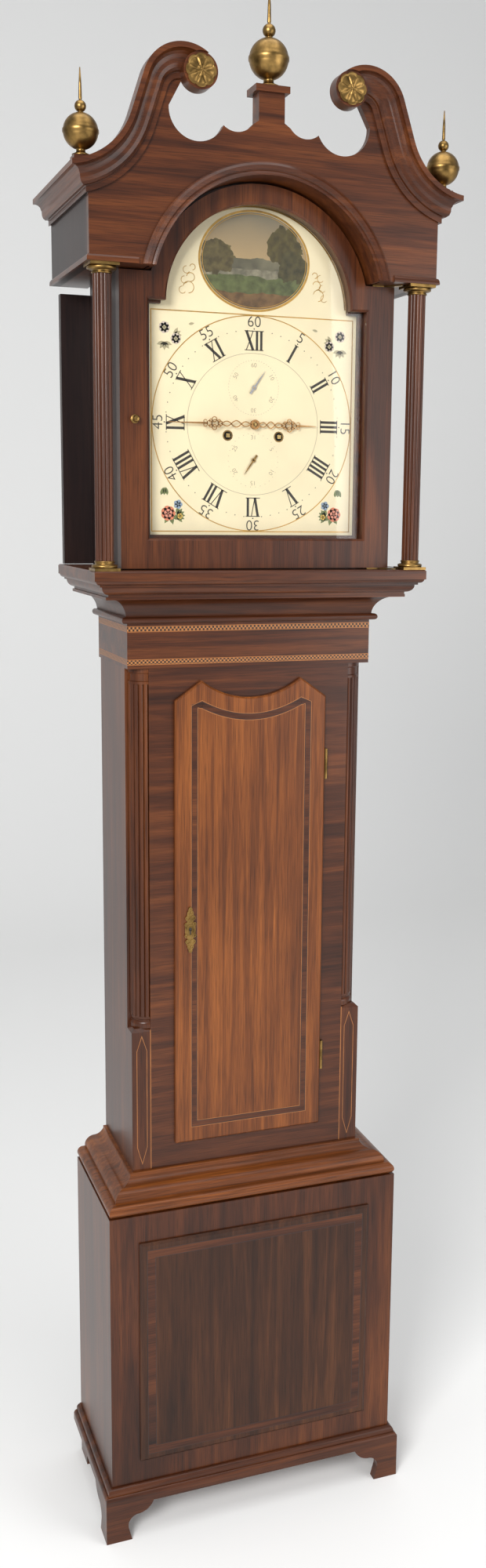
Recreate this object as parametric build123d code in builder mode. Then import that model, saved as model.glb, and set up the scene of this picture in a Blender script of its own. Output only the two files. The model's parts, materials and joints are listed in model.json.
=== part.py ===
from build123d import *
from math import acos, atan2, cos, degrees, pi, radians, sin, sqrt
import os

os.makedirs("parts", exist_ok=True)

# Driving dimensions, in millimetres. Heights are above the floor, depths are from the back of the case.

# Case widths and depths
base_half_width = 241.0
base_depth = 232.0
trunk_half_width = 191.0
trunk_depth = 182.0
hood_half_width = 259.5
hood_depth = 253.0
hood_base_half_width = 257.0
hood_base_depth = 254.0
cornice_projection = 27.0

# Case heights, each measured from the one below it
foot_height = 62.0
plinth_moulding_height = 28.0
base_board_height = 489.0
base_moulding_height = 50.0
corner_block_height = 235.0
quarter_column_height = 563.0
trunk_frieze_height = 68.0
throat_height = 41.0
hood_base_height = 38.0
hood_column_height = 416.0
hood_frieze_height = 91.0

# Board thicknesses
side_board = 16.0
front_board = 18.0
back_board = 14.0
thin_board = 8.0
fret_board = 12.0
slip_clearance = 1.0
floor_board = 16.0

# Heights worked out from the ones above
base_bottom = foot_height
base_top = base_bottom + base_board_height
trunk_bottom = base_top + base_moulding_height
block_top = trunk_bottom + corner_block_height
frieze_bottom = block_top + quarter_column_height
frieze_top = frieze_bottom + trunk_frieze_height
hood_seat = frieze_top + throat_height
hood_floor = hood_seat + hood_base_height
soffit_level = hood_floor + hood_column_height
cornice_bottom = soffit_level + hood_frieze_height

# The frame's origin is on the floor, under the middle of the depth over the cornice
overall_depth = hood_depth + cornice_projection
back_plane = overall_depth / 2


def at_depth(depth):
    """The y of a point this far in front of the back of the case."""
    return back_plane - depth


def facing_front(depth, x=0.0, z=0.0):
    """A plane across the clock: x to the right, y up, and extrusions come forward."""
    return Plane(origin=(x, at_depth(depth), z), x_dir=(1, 0, 0), z_dir=(0, -1, 0))


def facing_side(x, depth=0.0, z=0.0):
    """A plane along the clock's side: x to the back, y up, and extrusions go to the right."""
    return Plane(origin=(x, at_depth(depth), z), x_dir=(0, 1, 0), z_dir=(1, 0, 0))


def surround_route(half_width, depth, z=0.0):
    """The corners of a route round the right side, front and left side of the case."""
    back = at_depth(0)
    front = at_depth(depth)
    return [(half_width, back, z), (half_width, front, z), (-half_width, front, z), (-half_width, back, z)]


def finish(part, label):
    """Names a finished piece and writes its file."""
    part.label = label
    export_step(part, "parts/" + label + ".step")


# Base: four boards, the raised front panel, plinth moulding, bracket feet and top moulding
panel_half_width = 194.5
panel_bottom_margin = 66.5
panel_height = 377.0
panel_proud = 6.0
panel_edge = 4.0

with BuildPart() as base_boards:
    with BuildSketch(facing_front(base_depth - front_board)):
        with Locations((0, base_bottom + base_board_height / 2)):
            Rectangle(2 * base_half_width, base_board_height)
    extrude(amount=front_board)
    for side in (-1, 1):
        with BuildSketch(facing_front(0)):
            with Locations((side * (base_half_width - side_board / 2), base_bottom + base_board_height / 2)):
                Rectangle(side_board, base_board_height)
        extrude(amount=base_depth - front_board)
    with BuildSketch(facing_front(back_board)):
        with Locations((0, base_bottom + floor_board / 2)):
            Rectangle(2 * (base_half_width - side_board), floor_board)
    extrude(amount=base_depth - front_board - back_board)
finish(base_boards.part, "base_boards")

with BuildPart() as base_panel:
    with BuildSketch(facing_front(base_depth)):
        with Locations((0, base_bottom + panel_bottom_margin + panel_height / 2)):
            Rectangle(2 * panel_half_width, panel_height)
    extrude(amount=panel_proud)
    chamfer(base_panel.faces().sort_by(Axis.Y)[0].edges(), length=panel_proud / 2, length2=panel_edge)
finish(base_panel.part, "base_panel")

plinth_projection = 13.0

with BuildPart() as plinth_moulding:
    with BuildLine():
        Polyline(surround_route(base_half_width, base_depth, base_bottom))
    with BuildSketch(facing_front(0, base_half_width, base_bottom)):
        with BuildLine():
            h = plinth_moulding_height
            p = plinth_projection
            Polyline((0, 0), (p, 0), (p, 0.36 * h))
            ThreePointArc((p, 0.36 * h), (0.93 * p, 0.5 * h), (0.7 * p, 0.6 * h))
            Polyline((0.7 * p, 0.6 * h), (0.6 * p, 0.6 * h), (0.6 * p, 0.68 * h))
            ThreePointArc((0.6 * p, 0.68 * h), (0.5 * p, 0.87 * h), (0.2 * p, 0.97 * h))
            Polyline((0.2 * p, 0.97 * h), (0.2 * p, h), (0, h), (0, 0))
        make_face()
    sweep(transition=Transition.RIGHT)
finish(plinth_moulding.part, "plinth_moulding")

foot_width = 42.0
foot_board = 15.0
bracket_reach = 78.0
rear_foot_depth = 44.0


def bracket_outline(outer, height):
    """One face of an ogee bracket foot, from its outer edge inwards."""
    inner = outer - foot_width
    with BuildSketch(mode=Mode.PRIVATE) as bracket:
        with BuildLine():
            Polyline((outer, 0), (inner, 0), (inner + 0.14 * foot_width, 0.36 * height))
            ThreePointArc(
                (inner + 0.14 * foot_width, 0.36 * height),
                (inner + 0.05 * foot_width, 0.6 * height),
                (inner - 0.2 * foot_width, 0.7 * height),
            )
            ThreePointArc(
                (inner - 0.2 * foot_width, 0.7 * height),
                (outer - 0.86 * bracket_reach, 0.78 * height),
                (outer - bracket_reach, height),
            )
            Polyline((outer - bracket_reach, height), (outer, height), (outer, 0))
        make_face()
    return bracket.sketch


with BuildPart() as bracket_feet:
    foot_edge = base_half_width + plinth_projection
    foot_front = base_depth + plinth_projection
    with BuildSketch(facing_front(foot_front - foot_board)):
        add(bracket_outline(foot_edge, foot_height))
        mirror(about=Plane.YZ)
    extrude(amount=foot_board)
    for edge in (-foot_edge, foot_edge - foot_board):
        with BuildSketch(facing_side(edge, foot_front)):
            mirror(bracket_outline(0, foot_height), about=Plane.YZ)
        extrude(amount=foot_board)
    with BuildSketch(facing_front(0)):
        for side in (-1, 1):
            with Locations((side * (base_half_width - foot_width / 2), foot_height / 2)):
                Rectangle(foot_width, foot_height)
    extrude(amount=rear_foot_depth)
finish(bracket_feet.part, "bracket_feet")

with BuildPart() as base_top_moulding:
    with BuildLine():
        Polyline(surround_route(trunk_half_width, trunk_depth, base_top))
    with BuildSketch(facing_front(0, trunk_half_width, base_top)):
        with BuildLine():
            p = base_half_width - trunk_half_width
            h = base_moulding_height
            nose = 0.18 * h
            Line((0, 0), (p - nose, 0))
            ThreePointArc((p - nose, 0), (p, nose), (p - nose, 2 * nose))
            Polyline((p - nose, 2 * nose), (0.74 * p, 2 * nose), (0.74 * p, 0.43 * h))
            ThreePointArc((0.74 * p, 0.43 * h), (0.62 * p, 0.64 * h), (0.44 * p, 0.71 * h))
            ThreePointArc((0.44 * p, 0.71 * h), (0.2 * p, 0.79 * h), (0.1 * p, 0.92 * h))
            Polyline((0.1 * p, 0.92 * h), (0.1 * p, h), (0, h), (0, 0))
        make_face()
    sweep(transition=Transition.RIGHT)
finish(base_top_moulding.part, "base_top_moulding")

# Backboard, with the ears that stand behind the hood's sides
trunk_board_foot = 60.0
cheek_top = 1667.0
ear_half_width = 250.0
ear_bottom = 1547.0
ear_height = 403.0
hood_side_inner = 197.0
roof_level = 2100.0

with BuildPart() as backboard:
    with BuildSketch(facing_front(0)):
        base_inner = base_half_width - side_board
        trunk_inner = trunk_half_width - side_board
        hood_inner = hood_side_inner - slip_clearance
        with Locations((0, base_bottom + base_board_height / 2)):
            Rectangle(2 * base_inner, base_board_height)
        with Locations((0, (base_top + cheek_top) / 2)):
            Rectangle(2 * trunk_inner, cheek_top - base_top)
        board_top = roof_level - slip_clearance
        with Locations((0, (cheek_top + board_top) / 2)):
            Rectangle(2 * hood_inner, board_top - cheek_top)
        with Locations((0, ear_bottom + ear_height / 2)):
            Rectangle(2 * ear_half_width, ear_height)
        with Locations((0, base_top - trunk_board_foot / 2)):
            Rectangle(2 * base_half_width, trunk_board_foot, mode=Mode.SUBTRACT)
        with Locations((0, base_top - trunk_board_foot / 2)):
            Rectangle(2 * trunk_inner, trunk_board_foot)
    extrude(amount=back_board)
finish(backboard.part, "backboard")

# Trunk: sides with the cheeks that carry the seatboard, front with the shaped door opening
recess = 30.0
cheek_back = 20.0
cheek_front = 150.0
trunk_recess_depth = trunk_depth - recess + 3.0

with BuildPart() as trunk_sides:
    for side in (-1, 1):
        with BuildSketch(facing_side(side * (trunk_half_width - side_board / 2) - side_board / 2)):
            with BuildLine():
                Polyline(
                    (0, base_top - trunk_board_foot),
                    (-trunk_recess_depth, base_top - trunk_board_foot),
                    (-trunk_recess_depth, frieze_bottom),
                    (-(trunk_depth - front_board), frieze_bottom),
                    (-(trunk_depth - front_board), hood_seat),
                    (-cheek_front, hood_seat),
                    (-cheek_front, cheek_top),
                    (-cheek_back, cheek_top),
                    (-cheek_back, hood_seat),
                    (0, hood_seat),
                    close=True,
                )
            make_face()
        extrude(amount=side_board)
finish(trunk_sides.part, "trunk_sides")

# Trunk door outline: square foot, two peaks and a hollow between them
door_half_width = 122.0
door_bottom = 641.0
door_shoulder = 1349.0
door_peak = 1379.0
door_peak_x = 80.0
door_hollow = 1351.5
door_rebate = 9.0
door_clearance = 1.5
door_inner_thickness = 12.0


def door_outline(inset):
    """The trunk door's shape, drawn this far inside its outer edge."""
    slope = atan2(door_peak - door_shoulder, door_half_width - door_peak_x)
    edge = door_half_width - inset
    shoulder = door_shoulder + inset * (sin(slope) - 1) / cos(slope)
    peak = door_peak - inset / cos(slope)
    with BuildSketch(mode=Mode.PRIVATE) as door_shape:
        with BuildLine():
            Polyline((-door_peak_x, peak), (-edge, shoulder), (-edge, door_bottom + inset))
            Polyline((-edge, door_bottom + inset), (edge, door_bottom + inset), (edge, shoulder), (door_peak_x, peak))
            ThreePointArc((door_peak_x, peak), (0, door_hollow - inset), (-door_peak_x, peak))
        make_face()
    return door_shape.sketch


hinge_offset = 3.0
hinge_radius = 2.7
hinge_leaf = 1.2
hinge_pin = 1.2
hinge_running = 0.05
hinge_length = 48.0
hinge_heights = (1241.0, 757.5)
hinge_x = door_half_width + hinge_offset
hinge_depth = trunk_depth + hinge_radius + 0.3
hinge_tang = 14.0

with BuildPart() as trunk_front:
    with BuildSketch(facing_front(trunk_depth - front_board)):
        with Locations((0, (base_top + frieze_bottom) / 2)):
            Rectangle(2 * (trunk_half_width - recess), frieze_bottom - base_top)
    extrude(amount=front_board)
    with BuildSketch(facing_front(trunk_depth - front_board)):
        add(door_outline(door_rebate - door_clearance))
    extrude(amount=front_board, mode=Mode.SUBTRACT)
    with BuildSketch(facing_front(trunk_depth - hinge_tang)):
        with Locations(*[(hinge_x, height) for height in hinge_heights]):
            Rectangle(hinge_leaf, hinge_length)
    extrude(amount=hinge_tang, mode=Mode.SUBTRACT)
finish(trunk_front.part, "trunk_front")

block_chamfer = 5.0

with BuildPart() as corner_blocks:
    for side in (-1, 1):
        block_middle = side * (trunk_half_width - recess / 2)
        with BuildSketch(facing_front(trunk_recess_depth)):
            with Locations((block_middle, (base_top + block_top) / 2)):
                Rectangle(recess, block_top - base_top)
        extrude(amount=trunk_depth - trunk_recess_depth)
    block_tops = corner_blocks.faces().filter_by(Axis.Z).group_by(Axis.Z)[-1]
    front_edges = block_tops.edges().filter_by(Axis.X).group_by(Axis.Y)[0]
    outer_edges = block_tops.edges().filter_by(Axis.Y).filter_by(
        lambda edge: abs(edge.center().X) > trunk_half_width - recess / 2
    )
    chamfer(front_edges + outer_edges, length=block_chamfer)
finish(corner_blocks.part, "corner_blocks")

# Quarter columns: five reeds to the quarter, with a turned base and cap
quarter_reeds = 5
reed_valley = 23.0
reed_crown = 26.0
column_foot_height = 18.0
column_cap_height = 24.0


def reeded_edge(count, valley, crown, sweep_angle, start=0.0):
    """A row of rounded reeds on a circle about the active line's origin."""
    step = sweep_angle / count
    for i in range(count):
        a = radians(start + i * step)
        b = radians(start + (i + 0.5) * step)
        c = radians(start + (i + 1) * step)
        ThreePointArc(
            (valley * cos(a), valley * sin(a)),
            (crown * cos(b), crown * sin(b)),
            (valley * cos(c), valley * sin(c)),
        )


def quarter_turning(z):
    """The plane through a quarter column's centre line on which its turned ends are drawn."""
    return facing_front(trunk_recess_depth, trunk_half_width - recess, z)


with BuildPart() as quarter_column:
    with BuildSketch(Plane(
        origin=(trunk_half_width - recess, at_depth(trunk_recess_depth), block_top + column_foot_height),
        x_dir=(1, 0, 0),
        z_dir=(0, 0, 1),
    )):
        with BuildLine():
            reeded_edge(quarter_reeds, reed_valley, reed_crown, 90, -90)
            Polyline((reed_valley, 0), (0, 0), (0, -reed_valley))
        make_face()
    extrude(amount=quarter_column_height - column_foot_height - column_cap_height)
    column_axis = Axis((trunk_half_width - recess, at_depth(trunk_recess_depth), 0), (0, 0, 1))
    with BuildSketch(quarter_turning(block_top)):
        with BuildLine():
            h = column_foot_height
            Polyline((0, 0), (reed_crown, 0), (reed_crown, 0.3 * h))
            ThreePointArc((reed_crown, 0.3 * h), (reed_crown - 1.2, 0.52 * h), (reed_valley, 0.62 * h))
            Polyline((reed_valley, 0.62 * h), (reed_valley, 0.7 * h), (reed_crown - 1, 0.8 * h))
            Polyline((reed_crown - 1, 0.8 * h), (reed_crown - 1, h), (0, h), (0, 0))
        make_face()
    revolve(axis=column_axis, revolution_arc=-90)
    with BuildSketch(quarter_turning(frieze_bottom - column_cap_height)):
        with BuildLine():
            h = column_cap_height
            Polyline((0, 0), (reed_crown, 0), (reed_crown, 0.16 * h), (reed_valley + 1, 0.2 * h))
            Polyline((reed_valley + 1, 0.2 * h), (reed_valley + 1, 0.66 * h), (reed_crown, 0.72 * h))
            Polyline((reed_crown, 0.72 * h), (reed_crown, h), (0, h), (0, 0))
        make_face()
    revolve(axis=column_axis, revolution_arc=-90)

with BuildPart() as quarter_columns:
    add(quarter_column.part)
    mirror(quarter_column.part, about=Plane.YZ)
finish(quarter_columns.part, "quarter_columns")

frieze_proud = 3.0

with BuildPart() as trunk_frieze:
    with BuildSketch(facing_front(0)):
        with Locations((0, (frieze_bottom + frieze_top) / 2)):
            Rectangle(2 * (trunk_half_width + frieze_proud), trunk_frieze_height)
    extrude(amount=trunk_depth + frieze_proud)
    with BuildSketch(facing_front(0)):
        with Locations((0, (frieze_bottom + frieze_top) / 2)):
            Rectangle(2 * trunk_half_width, trunk_frieze_height)
    extrude(amount=trunk_depth - front_board, mode=Mode.SUBTRACT)
finish(trunk_frieze.part, "trunk_frieze")

throat_projection = 44.0
bead_projection = 13.0

with BuildPart() as throat_moulding:
    with BuildLine():
        Polyline(surround_route(trunk_half_width, trunk_depth, frieze_top))
    with BuildSketch(facing_front(0, trunk_half_width, frieze_top)):
        with BuildLine():
            h = throat_height
            p = throat_projection
            b = bead_projection
            Line((0, 0), (0.5 * b, 0))
            ThreePointArc((0.5 * b, 0), (b, 0.11 * h), (0.5 * b, 0.22 * h))
            Line((0.5 * b, 0.22 * h), (0.12 * p, 0.22 * h))
            ThreePointArc((0.12 * p, 0.22 * h), (0.33 * p, 0.7 * h), (0.93 * p, 0.9 * h))
            Polyline((0.93 * p, 0.9 * h), (p, 0.9 * h), (p, h), (0, h), (0, 0))
        make_face()
    sweep(transition=Transition.RIGHT)
finish(throat_moulding.part, "throat_moulding")

# Hood base frame, open at the back so that the hood slides off forwards
hood_slip = trunk_half_width + slip_clearance
frame_width = hood_base_half_width - hood_slip
frame_front = hood_base_depth - frame_width
door_pivot_x = 212.0
door_pivot_depth = 234.0
pivot_pin = 2.0
pivot_hole = pivot_pin + 0.05
pivot_pin_length = 9.0

with BuildPart() as hood_base_frame:
    with BuildLine():
        Polyline(surround_route(hood_slip, frame_front, hood_seat))
    with BuildSketch(facing_front(0, hood_slip, hood_seat)):
        with BuildLine():
            h = hood_base_height
            p = frame_width
            Polyline((0, 0), (0.62 * p, 0), (0.62 * p, 0.1 * h))
            ThreePointArc((0.62 * p, 0.1 * h), (0.76 * p, 0.2 * h), (0.8 * p, 0.4 * h))
            Polyline((0.8 * p, 0.4 * h), (0.86 * p, 0.4 * h), (0.86 * p, 0.48 * h))
            ThreePointArc((0.86 * p, 0.48 * h), (0.94 * p, 0.52 * h), (0.97 * p, 0.62 * h))
            Polyline((0.97 * p, 0.62 * h), (p, 0.62 * h), (p, 0.95 * h), (0.97 * p, h), (0, h), (0, 0))
        make_face()
    sweep(transition=Transition.RIGHT)
    with BuildSketch(Plane(origin=(door_pivot_x, at_depth(door_pivot_depth), hood_floor), z_dir=(0, 0, -1))):
        Circle(pivot_hole)
    extrude(amount=pivot_pin_length, mode=Mode.SUBTRACT)
finish(hood_base_frame.part, "hood_base_frame")

# Hood carcase: sides, dial mask, soffits, side friezes and roof
arch_centre = 1920.0
panel_back = 16.0
mask_back = 187.0
mask_front = mask_back + thin_board
frieze_back = hood_depth - fret_board
roof_thickness = thin_board
frieze_inner = hood_half_width - fret_board
hood_side_outer = hood_side_inner + thin_board
mask_half_opening = 161.0
mask_arch = 144.0
mask_bottom = 1596.0
head_arch = 172.0
lining = 5.0

with BuildPart() as hood_sides:
    for side in (-1, 1):
        with BuildSketch(facing_front(panel_back)):
            with Locations((side * (hood_side_inner + thin_board / 2), (hood_floor + roof_level) / 2)):
                Rectangle(thin_board, roof_level - hood_floor)
        extrude(amount=mask_back - panel_back)

with BuildPart() as dial_mask:
    with BuildSketch(facing_front(mask_back)):
        with Locations((0, (hood_floor + roof_level) / 2)):
            Rectangle(2 * hood_side_outer, roof_level - hood_floor)
        with Locations((0, (mask_bottom + arch_centre) / 2)):
            Rectangle(2 * mask_half_opening, arch_centre - mask_bottom, mode=Mode.SUBTRACT)
        with Locations((0, arch_centre)):
            Circle(mask_arch, mode=Mode.SUBTRACT)
    extrude(amount=thin_board)
finish(dial_mask.part, "dial_mask")

with BuildPart() as hood_flanks:
    add(hood_sides.part)
    for side in (-1, 1):
        with BuildSketch(facing_front(0)):
            with Locations((side * (frieze_inner + fret_board / 2), (soffit_level + cornice_bottom) / 2)):
                Rectangle(fret_board, cornice_bottom - soffit_level)
        extrude(amount=frieze_back)

finish(hood_flanks.part, "hood_sides")

with BuildPart() as hood_soffits:
    for side in (-1, 1):
        with BuildSketch(facing_front(0)):
            with Locations((side * (hood_side_outer + frieze_inner) / 2, soffit_level + thin_board / 2)):
                Rectangle(frieze_inner - hood_side_outer, thin_board)
        extrude(amount=mask_front)
        with BuildSketch(facing_front(mask_front)):
            with Locations((side * (head_arch + lining / 2 + frieze_inner) / 2, soffit_level + thin_board / 2)):
                Rectangle(frieze_inner - head_arch - lining / 2, thin_board)
        extrude(amount=frieze_back - mask_front)
    with BuildSketch(facing_front(mask_front)):
        with Locations((0, arch_centre)):
            Circle(head_arch + lining)
            Circle(head_arch, mode=Mode.SUBTRACT)
        with Locations((0, soffit_level - head_arch)):
            Rectangle(3 * head_arch, 2 * head_arch, mode=Mode.SUBTRACT)
    extrude(amount=frieze_back - mask_front)
    with BuildSketch(Plane(origin=(door_pivot_x, at_depth(door_pivot_depth), soffit_level), z_dir=(0, 0, 1))):
        Circle(pivot_hole)
    extrude(amount=thin_board, mode=Mode.SUBTRACT)
finish(hood_soffits.part, "hood_soffits")

with BuildPart() as hood_roof:
    with BuildSketch(facing_front(0)):
        with Locations((0, roof_level + roof_thickness / 2)):
            Rectangle(2 * hood_side_outer, roof_thickness)
    extrude(amount=frieze_back)
    for side in (-1, 1):
        with BuildSketch(facing_front(0)):
            with Locations((side * (hood_side_outer + frieze_inner) / 2, cornice_bottom - thin_board / 2)):
                Rectangle(frieze_inner - hood_side_outer, thin_board)
        extrude(amount=frieze_back)
        with BuildSketch(facing_front(mask_front)):
            with Locations((side * (hood_side_inner + thin_board / 2), (soffit_level + thin_board + roof_level) / 2)):
                Rectangle(thin_board, roof_level - soffit_level - thin_board)
        extrude(amount=frieze_back - mask_front)
finish(hood_roof.part, "hood_roof")

# Swan-neck cornice: a hollow curve rising to a rounded one that ends at a turned boss
neck_width = 40.0
hollow_x = 300.0
hollow_z = 2182.0
hollow_radius = 139.0
round_x = 133.0
round_z = 2185.0
round_radius = 18.3
round_end_angle = 127.0
boss_x = 109.5
boss_z = 2211.0
boss_radius = 24.0
boss_thickness = 23.0
board_inset = 4.0

neck_profile = [
    (0, 0), (0, 4), (7, 4), (8, 5), (8.8, 8.5), (12, 12), (17, 13.7), (22, 14), (24, 15), (27.5, 16.2),
    (30.5, 19), (32.2, 22), (33, 25), (33, cornice_projection), (neck_width, cornice_projection), (neck_width, 0),
]

join_span = sqrt((hollow_x - round_x) ** 2 + (hollow_z - round_z) ** 2)
join_angle = degrees(atan2(hollow_z - round_z, hollow_x - round_x) + acos((hollow_radius + round_radius) / join_span))
corner_angle = 268.0


def on_circle(x, z, radius, angle):
    """The point of a circle at this angle in degrees."""
    return (x + radius * cos(radians(angle)), z + radius * sin(radians(angle)))


def neck_points(inset):
    """End points and middles of the neck's two arcs, this far above its lower edge."""
    hollow = hollow_radius - inset
    rounded = round_radius + inset
    start = on_circle(hollow_x, hollow_z, hollow, corner_angle)
    middle = on_circle(hollow_x, hollow_z, hollow, (corner_angle + 180 + join_angle) / 2)
    leave = on_circle(hollow_x, hollow_z, hollow, 180 + join_angle)
    arrive = on_circle(round_x, round_z, rounded, join_angle)
    crest = on_circle(round_x, round_z, rounded, (join_angle + round_end_angle) / 2)
    end = on_circle(round_x, round_z, rounded, round_end_angle)
    return start, middle, leave, arrive, crest, end


def cornice_height(up, out):
    """The height at which the neck's curve meets its mitre, for one point of the moulding."""
    reach = hollow_x - hood_half_width - out
    return hollow_z - sqrt((hollow_radius - up) ** 2 - reach ** 2)


mitre = Plane(origin=(hood_half_width, at_depth(hood_depth), 0), z_dir=(1, 1, 0))

with BuildPart() as right_neck:
    start, middle, leave, arrive, crest, end = neck_points(0)
    with BuildLine(facing_front(hood_depth)):
        ThreePointArc(start, middle, leave)
        Line(leave, arrive)
        ThreePointArc(arrive, crest, end)
    across = (-cos(radians(corner_angle)), 0, -sin(radians(corner_angle)))
    along = (sin(radians(corner_angle)), 0, -cos(radians(corner_angle)))
    with BuildSketch(Plane(origin=(start[0], at_depth(hood_depth), start[1]), x_dir=across, z_dir=along)):
        with BuildLine():
            Polyline([(up, -out) for up, out in neck_profile], close=True)
        make_face()
    sweep()
    split(bisect_by=mitre, keep=Keep.BOTTOM)
    with BuildSketch(facing_front(hood_depth)):
        with Locations((boss_x, boss_z)):
            Circle(boss_radius)
    extrude(amount=cornice_projection, mode=Mode.SUBTRACT)

with BuildPart() as swan_necks:
    add(right_neck.part)
    mirror(right_neck.part, about=Plane.YZ)
finish(swan_necks.part, "swan_necks")

with BuildPart() as right_cornice:
    with BuildSketch(facing_front(0)):
        with BuildLine():
            Polyline([(hood_half_width + out, cornice_height(up, out)) for up, out in neck_profile], close=True)
        make_face()
    extrude(amount=overall_depth)
    split(bisect_by=mitre, keep=Keep.TOP)

with BuildPart() as side_cornices:
    add(right_cornice.part)
    mirror(right_cornice.part, about=Plane.YZ)
finish(side_cornices.part, "side_cornices")

# Front board: frieze with the arched opening, and the fretted top between the necks
plinth_half = 19.0
plinth_top = 2200.0
plinth_foot = (28.0, 2156.0)
dip = (48.0, 2144.5)
cusp = (70.0, 2151.0)
scoop = (107.0, 2127.0)
scoop_end = (148.0, 2169.0)
under_boss = (131.0, 2200.0)

with BuildPart() as hood_front_board:
    with BuildSketch(facing_front(frieze_back)):
        with BuildLine():
            start, middle, leave, arrive, crest, end = neck_points(neck_width - board_inset)
            edge = hood_half_width
            outer = (edge, hollow_z - sqrt((hollow_radius - neck_width + board_inset) ** 2 - (hollow_x - edge) ** 2))
            Polyline((0, soffit_level), (edge, soffit_level), outer)
            ThreePointArc(outer, on_circle(hollow_x, hollow_z, hollow_radius - neck_width + board_inset, 225), leave)
            Line(leave, arrive)
            ThreePointArc(arrive, crest, end)
            Line(end, under_boss)
            Line(under_boss, scoop_end)
            ThreePointArc(scoop_end, scoop, cusp)
            ThreePointArc(cusp, dip, plinth_foot)
            Polyline(plinth_foot, (plinth_half, plinth_foot[1] + 6), (plinth_half, plinth_top), (0, plinth_top))
            Line((0, plinth_top), (0, soffit_level))
        make_face()
        mirror(about=Plane.YZ)
        with Locations((0, arch_centre)):
            Circle(head_arch, mode=Mode.SUBTRACT)
    extrude(amount=fret_board)
finish(hood_front_board.part, "hood_front_board")

with BuildPart() as neck_bosses:
    for side in (-1, 1):
        with BuildSketch(facing_front(hood_depth)):
            with Locations((side * boss_x, boss_z)):
                Circle(boss_radius)
        extrude(amount=boss_thickness)

rosette_radius = 21.0
rosette_rim = 1.6

with BuildPart() as rosettes:
    for side in (-1, 1):
        with BuildSketch(Plane(
            origin=(side * boss_x, at_depth(hood_depth + boss_thickness), boss_z), x_dir=(1, 0, 0), z_dir=(0, 0, 1)
        )):
            with BuildLine():
                Polyline((0, 0), (rosette_radius, 0), (rosette_radius, -rosette_rim))
                Polyline(
                    (rosette_radius, -rosette_rim), (0.75 * rosette_radius, -2.7), (0.45 * rosette_radius, -2.4),
                    (0.3 * rosette_radius, -3.6), (0, -4), (0, 0),
                )
            make_face()
        revolve(axis=Axis((side * boss_x, 0, boss_z), (0, 1, 0)))

moulding_band = 18.0

with BuildPart() as arch_moulding:
    with BuildSketch(Plane(origin=(0, at_depth(hood_depth), arch_centre), x_dir=(1, 0, 0), z_dir=(0, 0, 1))):
        with BuildLine():
            r = head_arch
            w = moulding_band
            Polyline((r, 0), (r, -3.5), (r + 0.15 * w, -4), (r + 0.3 * w, -3))
            Polyline((r + 0.3 * w, -3), (r + 0.42 * w, -5.4), (r + 0.7 * w, -6), (r + 0.9 * w, -3.5))
            Polyline((r + 0.9 * w, -3.5), (r + w, -3), (r + w, 0), (r, 0))
        make_face()
    revolve(axis=Axis((0, 0, arch_centre), (0, -1, 0)), revolution_arc=180)
    with BuildSketch(facing_front(hood_depth)):
        with Locations((0, soffit_level - head_arch)):
            Rectangle(3 * head_arch, 2 * head_arch, mode=Mode.ADD)
    extrude(amount=cornice_projection, mode=Mode.SUBTRACT)

frieze_bead = 4.0
frieze_bead_height = 9.0

with BuildPart() as frieze_mouldings:
    add(arch_moulding.part)
    for side in (-1, 1):
        with BuildLine():
            Polyline(
                (side * hood_half_width, at_depth(0), soffit_level),
                (side * hood_half_width, at_depth(hood_depth), soffit_level),
                (side * (head_arch + moulding_band + 1), at_depth(hood_depth), soffit_level),
            )
        with BuildSketch(facing_front(0, side * hood_half_width, soffit_level)):
            with BuildLine():
                b = side * frieze_bead
                h = frieze_bead_height
                Polyline((0, 0), (b, 0), (b, 0.3 * h), (0.9 * b, 0.62 * h), (0.55 * b, 0.9 * h), (0, h), (0, 0))
            make_face()
        sweep(transition=Transition.RIGHT)

finish(frieze_mouldings.part, "frieze_mouldings")

# Finials on their blocks: one on the middle of the pediment and one on each corner
middle_finial_depth = 238.0
corner_finial_x = 267.5
corner_finial_depth = 247.0
cap_half = 25.0
cap_thickness = 9.0
corner_block_half = 12.0
corner_block_bottom = 2076.0
corner_block_level = 2094.0
overall_height = 2340.0

with BuildPart() as finial_blocks:
    add(neck_bosses.part)
    with BuildSketch(facing_front(frieze_back - 15)):
        with Locations((0, (plinth_top + roof_level + roof_thickness) / 2)):
            Rectangle(2 * plinth_half, plinth_top - roof_level - roof_thickness)
    extrude(amount=15)
    with BuildSketch(facing_front(middle_finial_depth - 20)):
        with Locations((0, plinth_top + cap_thickness / 2)):
            Rectangle(2 * cap_half, cap_thickness)
    extrude(amount=40)
    for side in (-1, 1):
        with BuildSketch(facing_front(corner_finial_depth - corner_block_half)):
            with Locations((side * corner_finial_x, (corner_block_bottom + corner_block_level) / 2)):
                Rectangle(2 * corner_block_half, corner_block_level - corner_block_bottom)
        extrude(amount=2 * corner_block_half)
    add(swan_necks.part, mode=Mode.SUBTRACT)
    add(side_cornices.part, mode=Mode.SUBTRACT)
    add(hood_front_board.part, mode=Mode.SUBTRACT)
finish(finial_blocks.part, "finial_blocks")


ball_steps = 8
spire_share = 3.38


def round_side(radius, middle, low, high, steps):
    """Points up the side of a ball, between two angles in degrees above its middle."""
    turns = [radians(low + (high - low) * i / steps) for i in range(steps + 1)]
    return [(radius * cos(turn), middle + radius * sin(turn)) for turn in turns]


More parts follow.
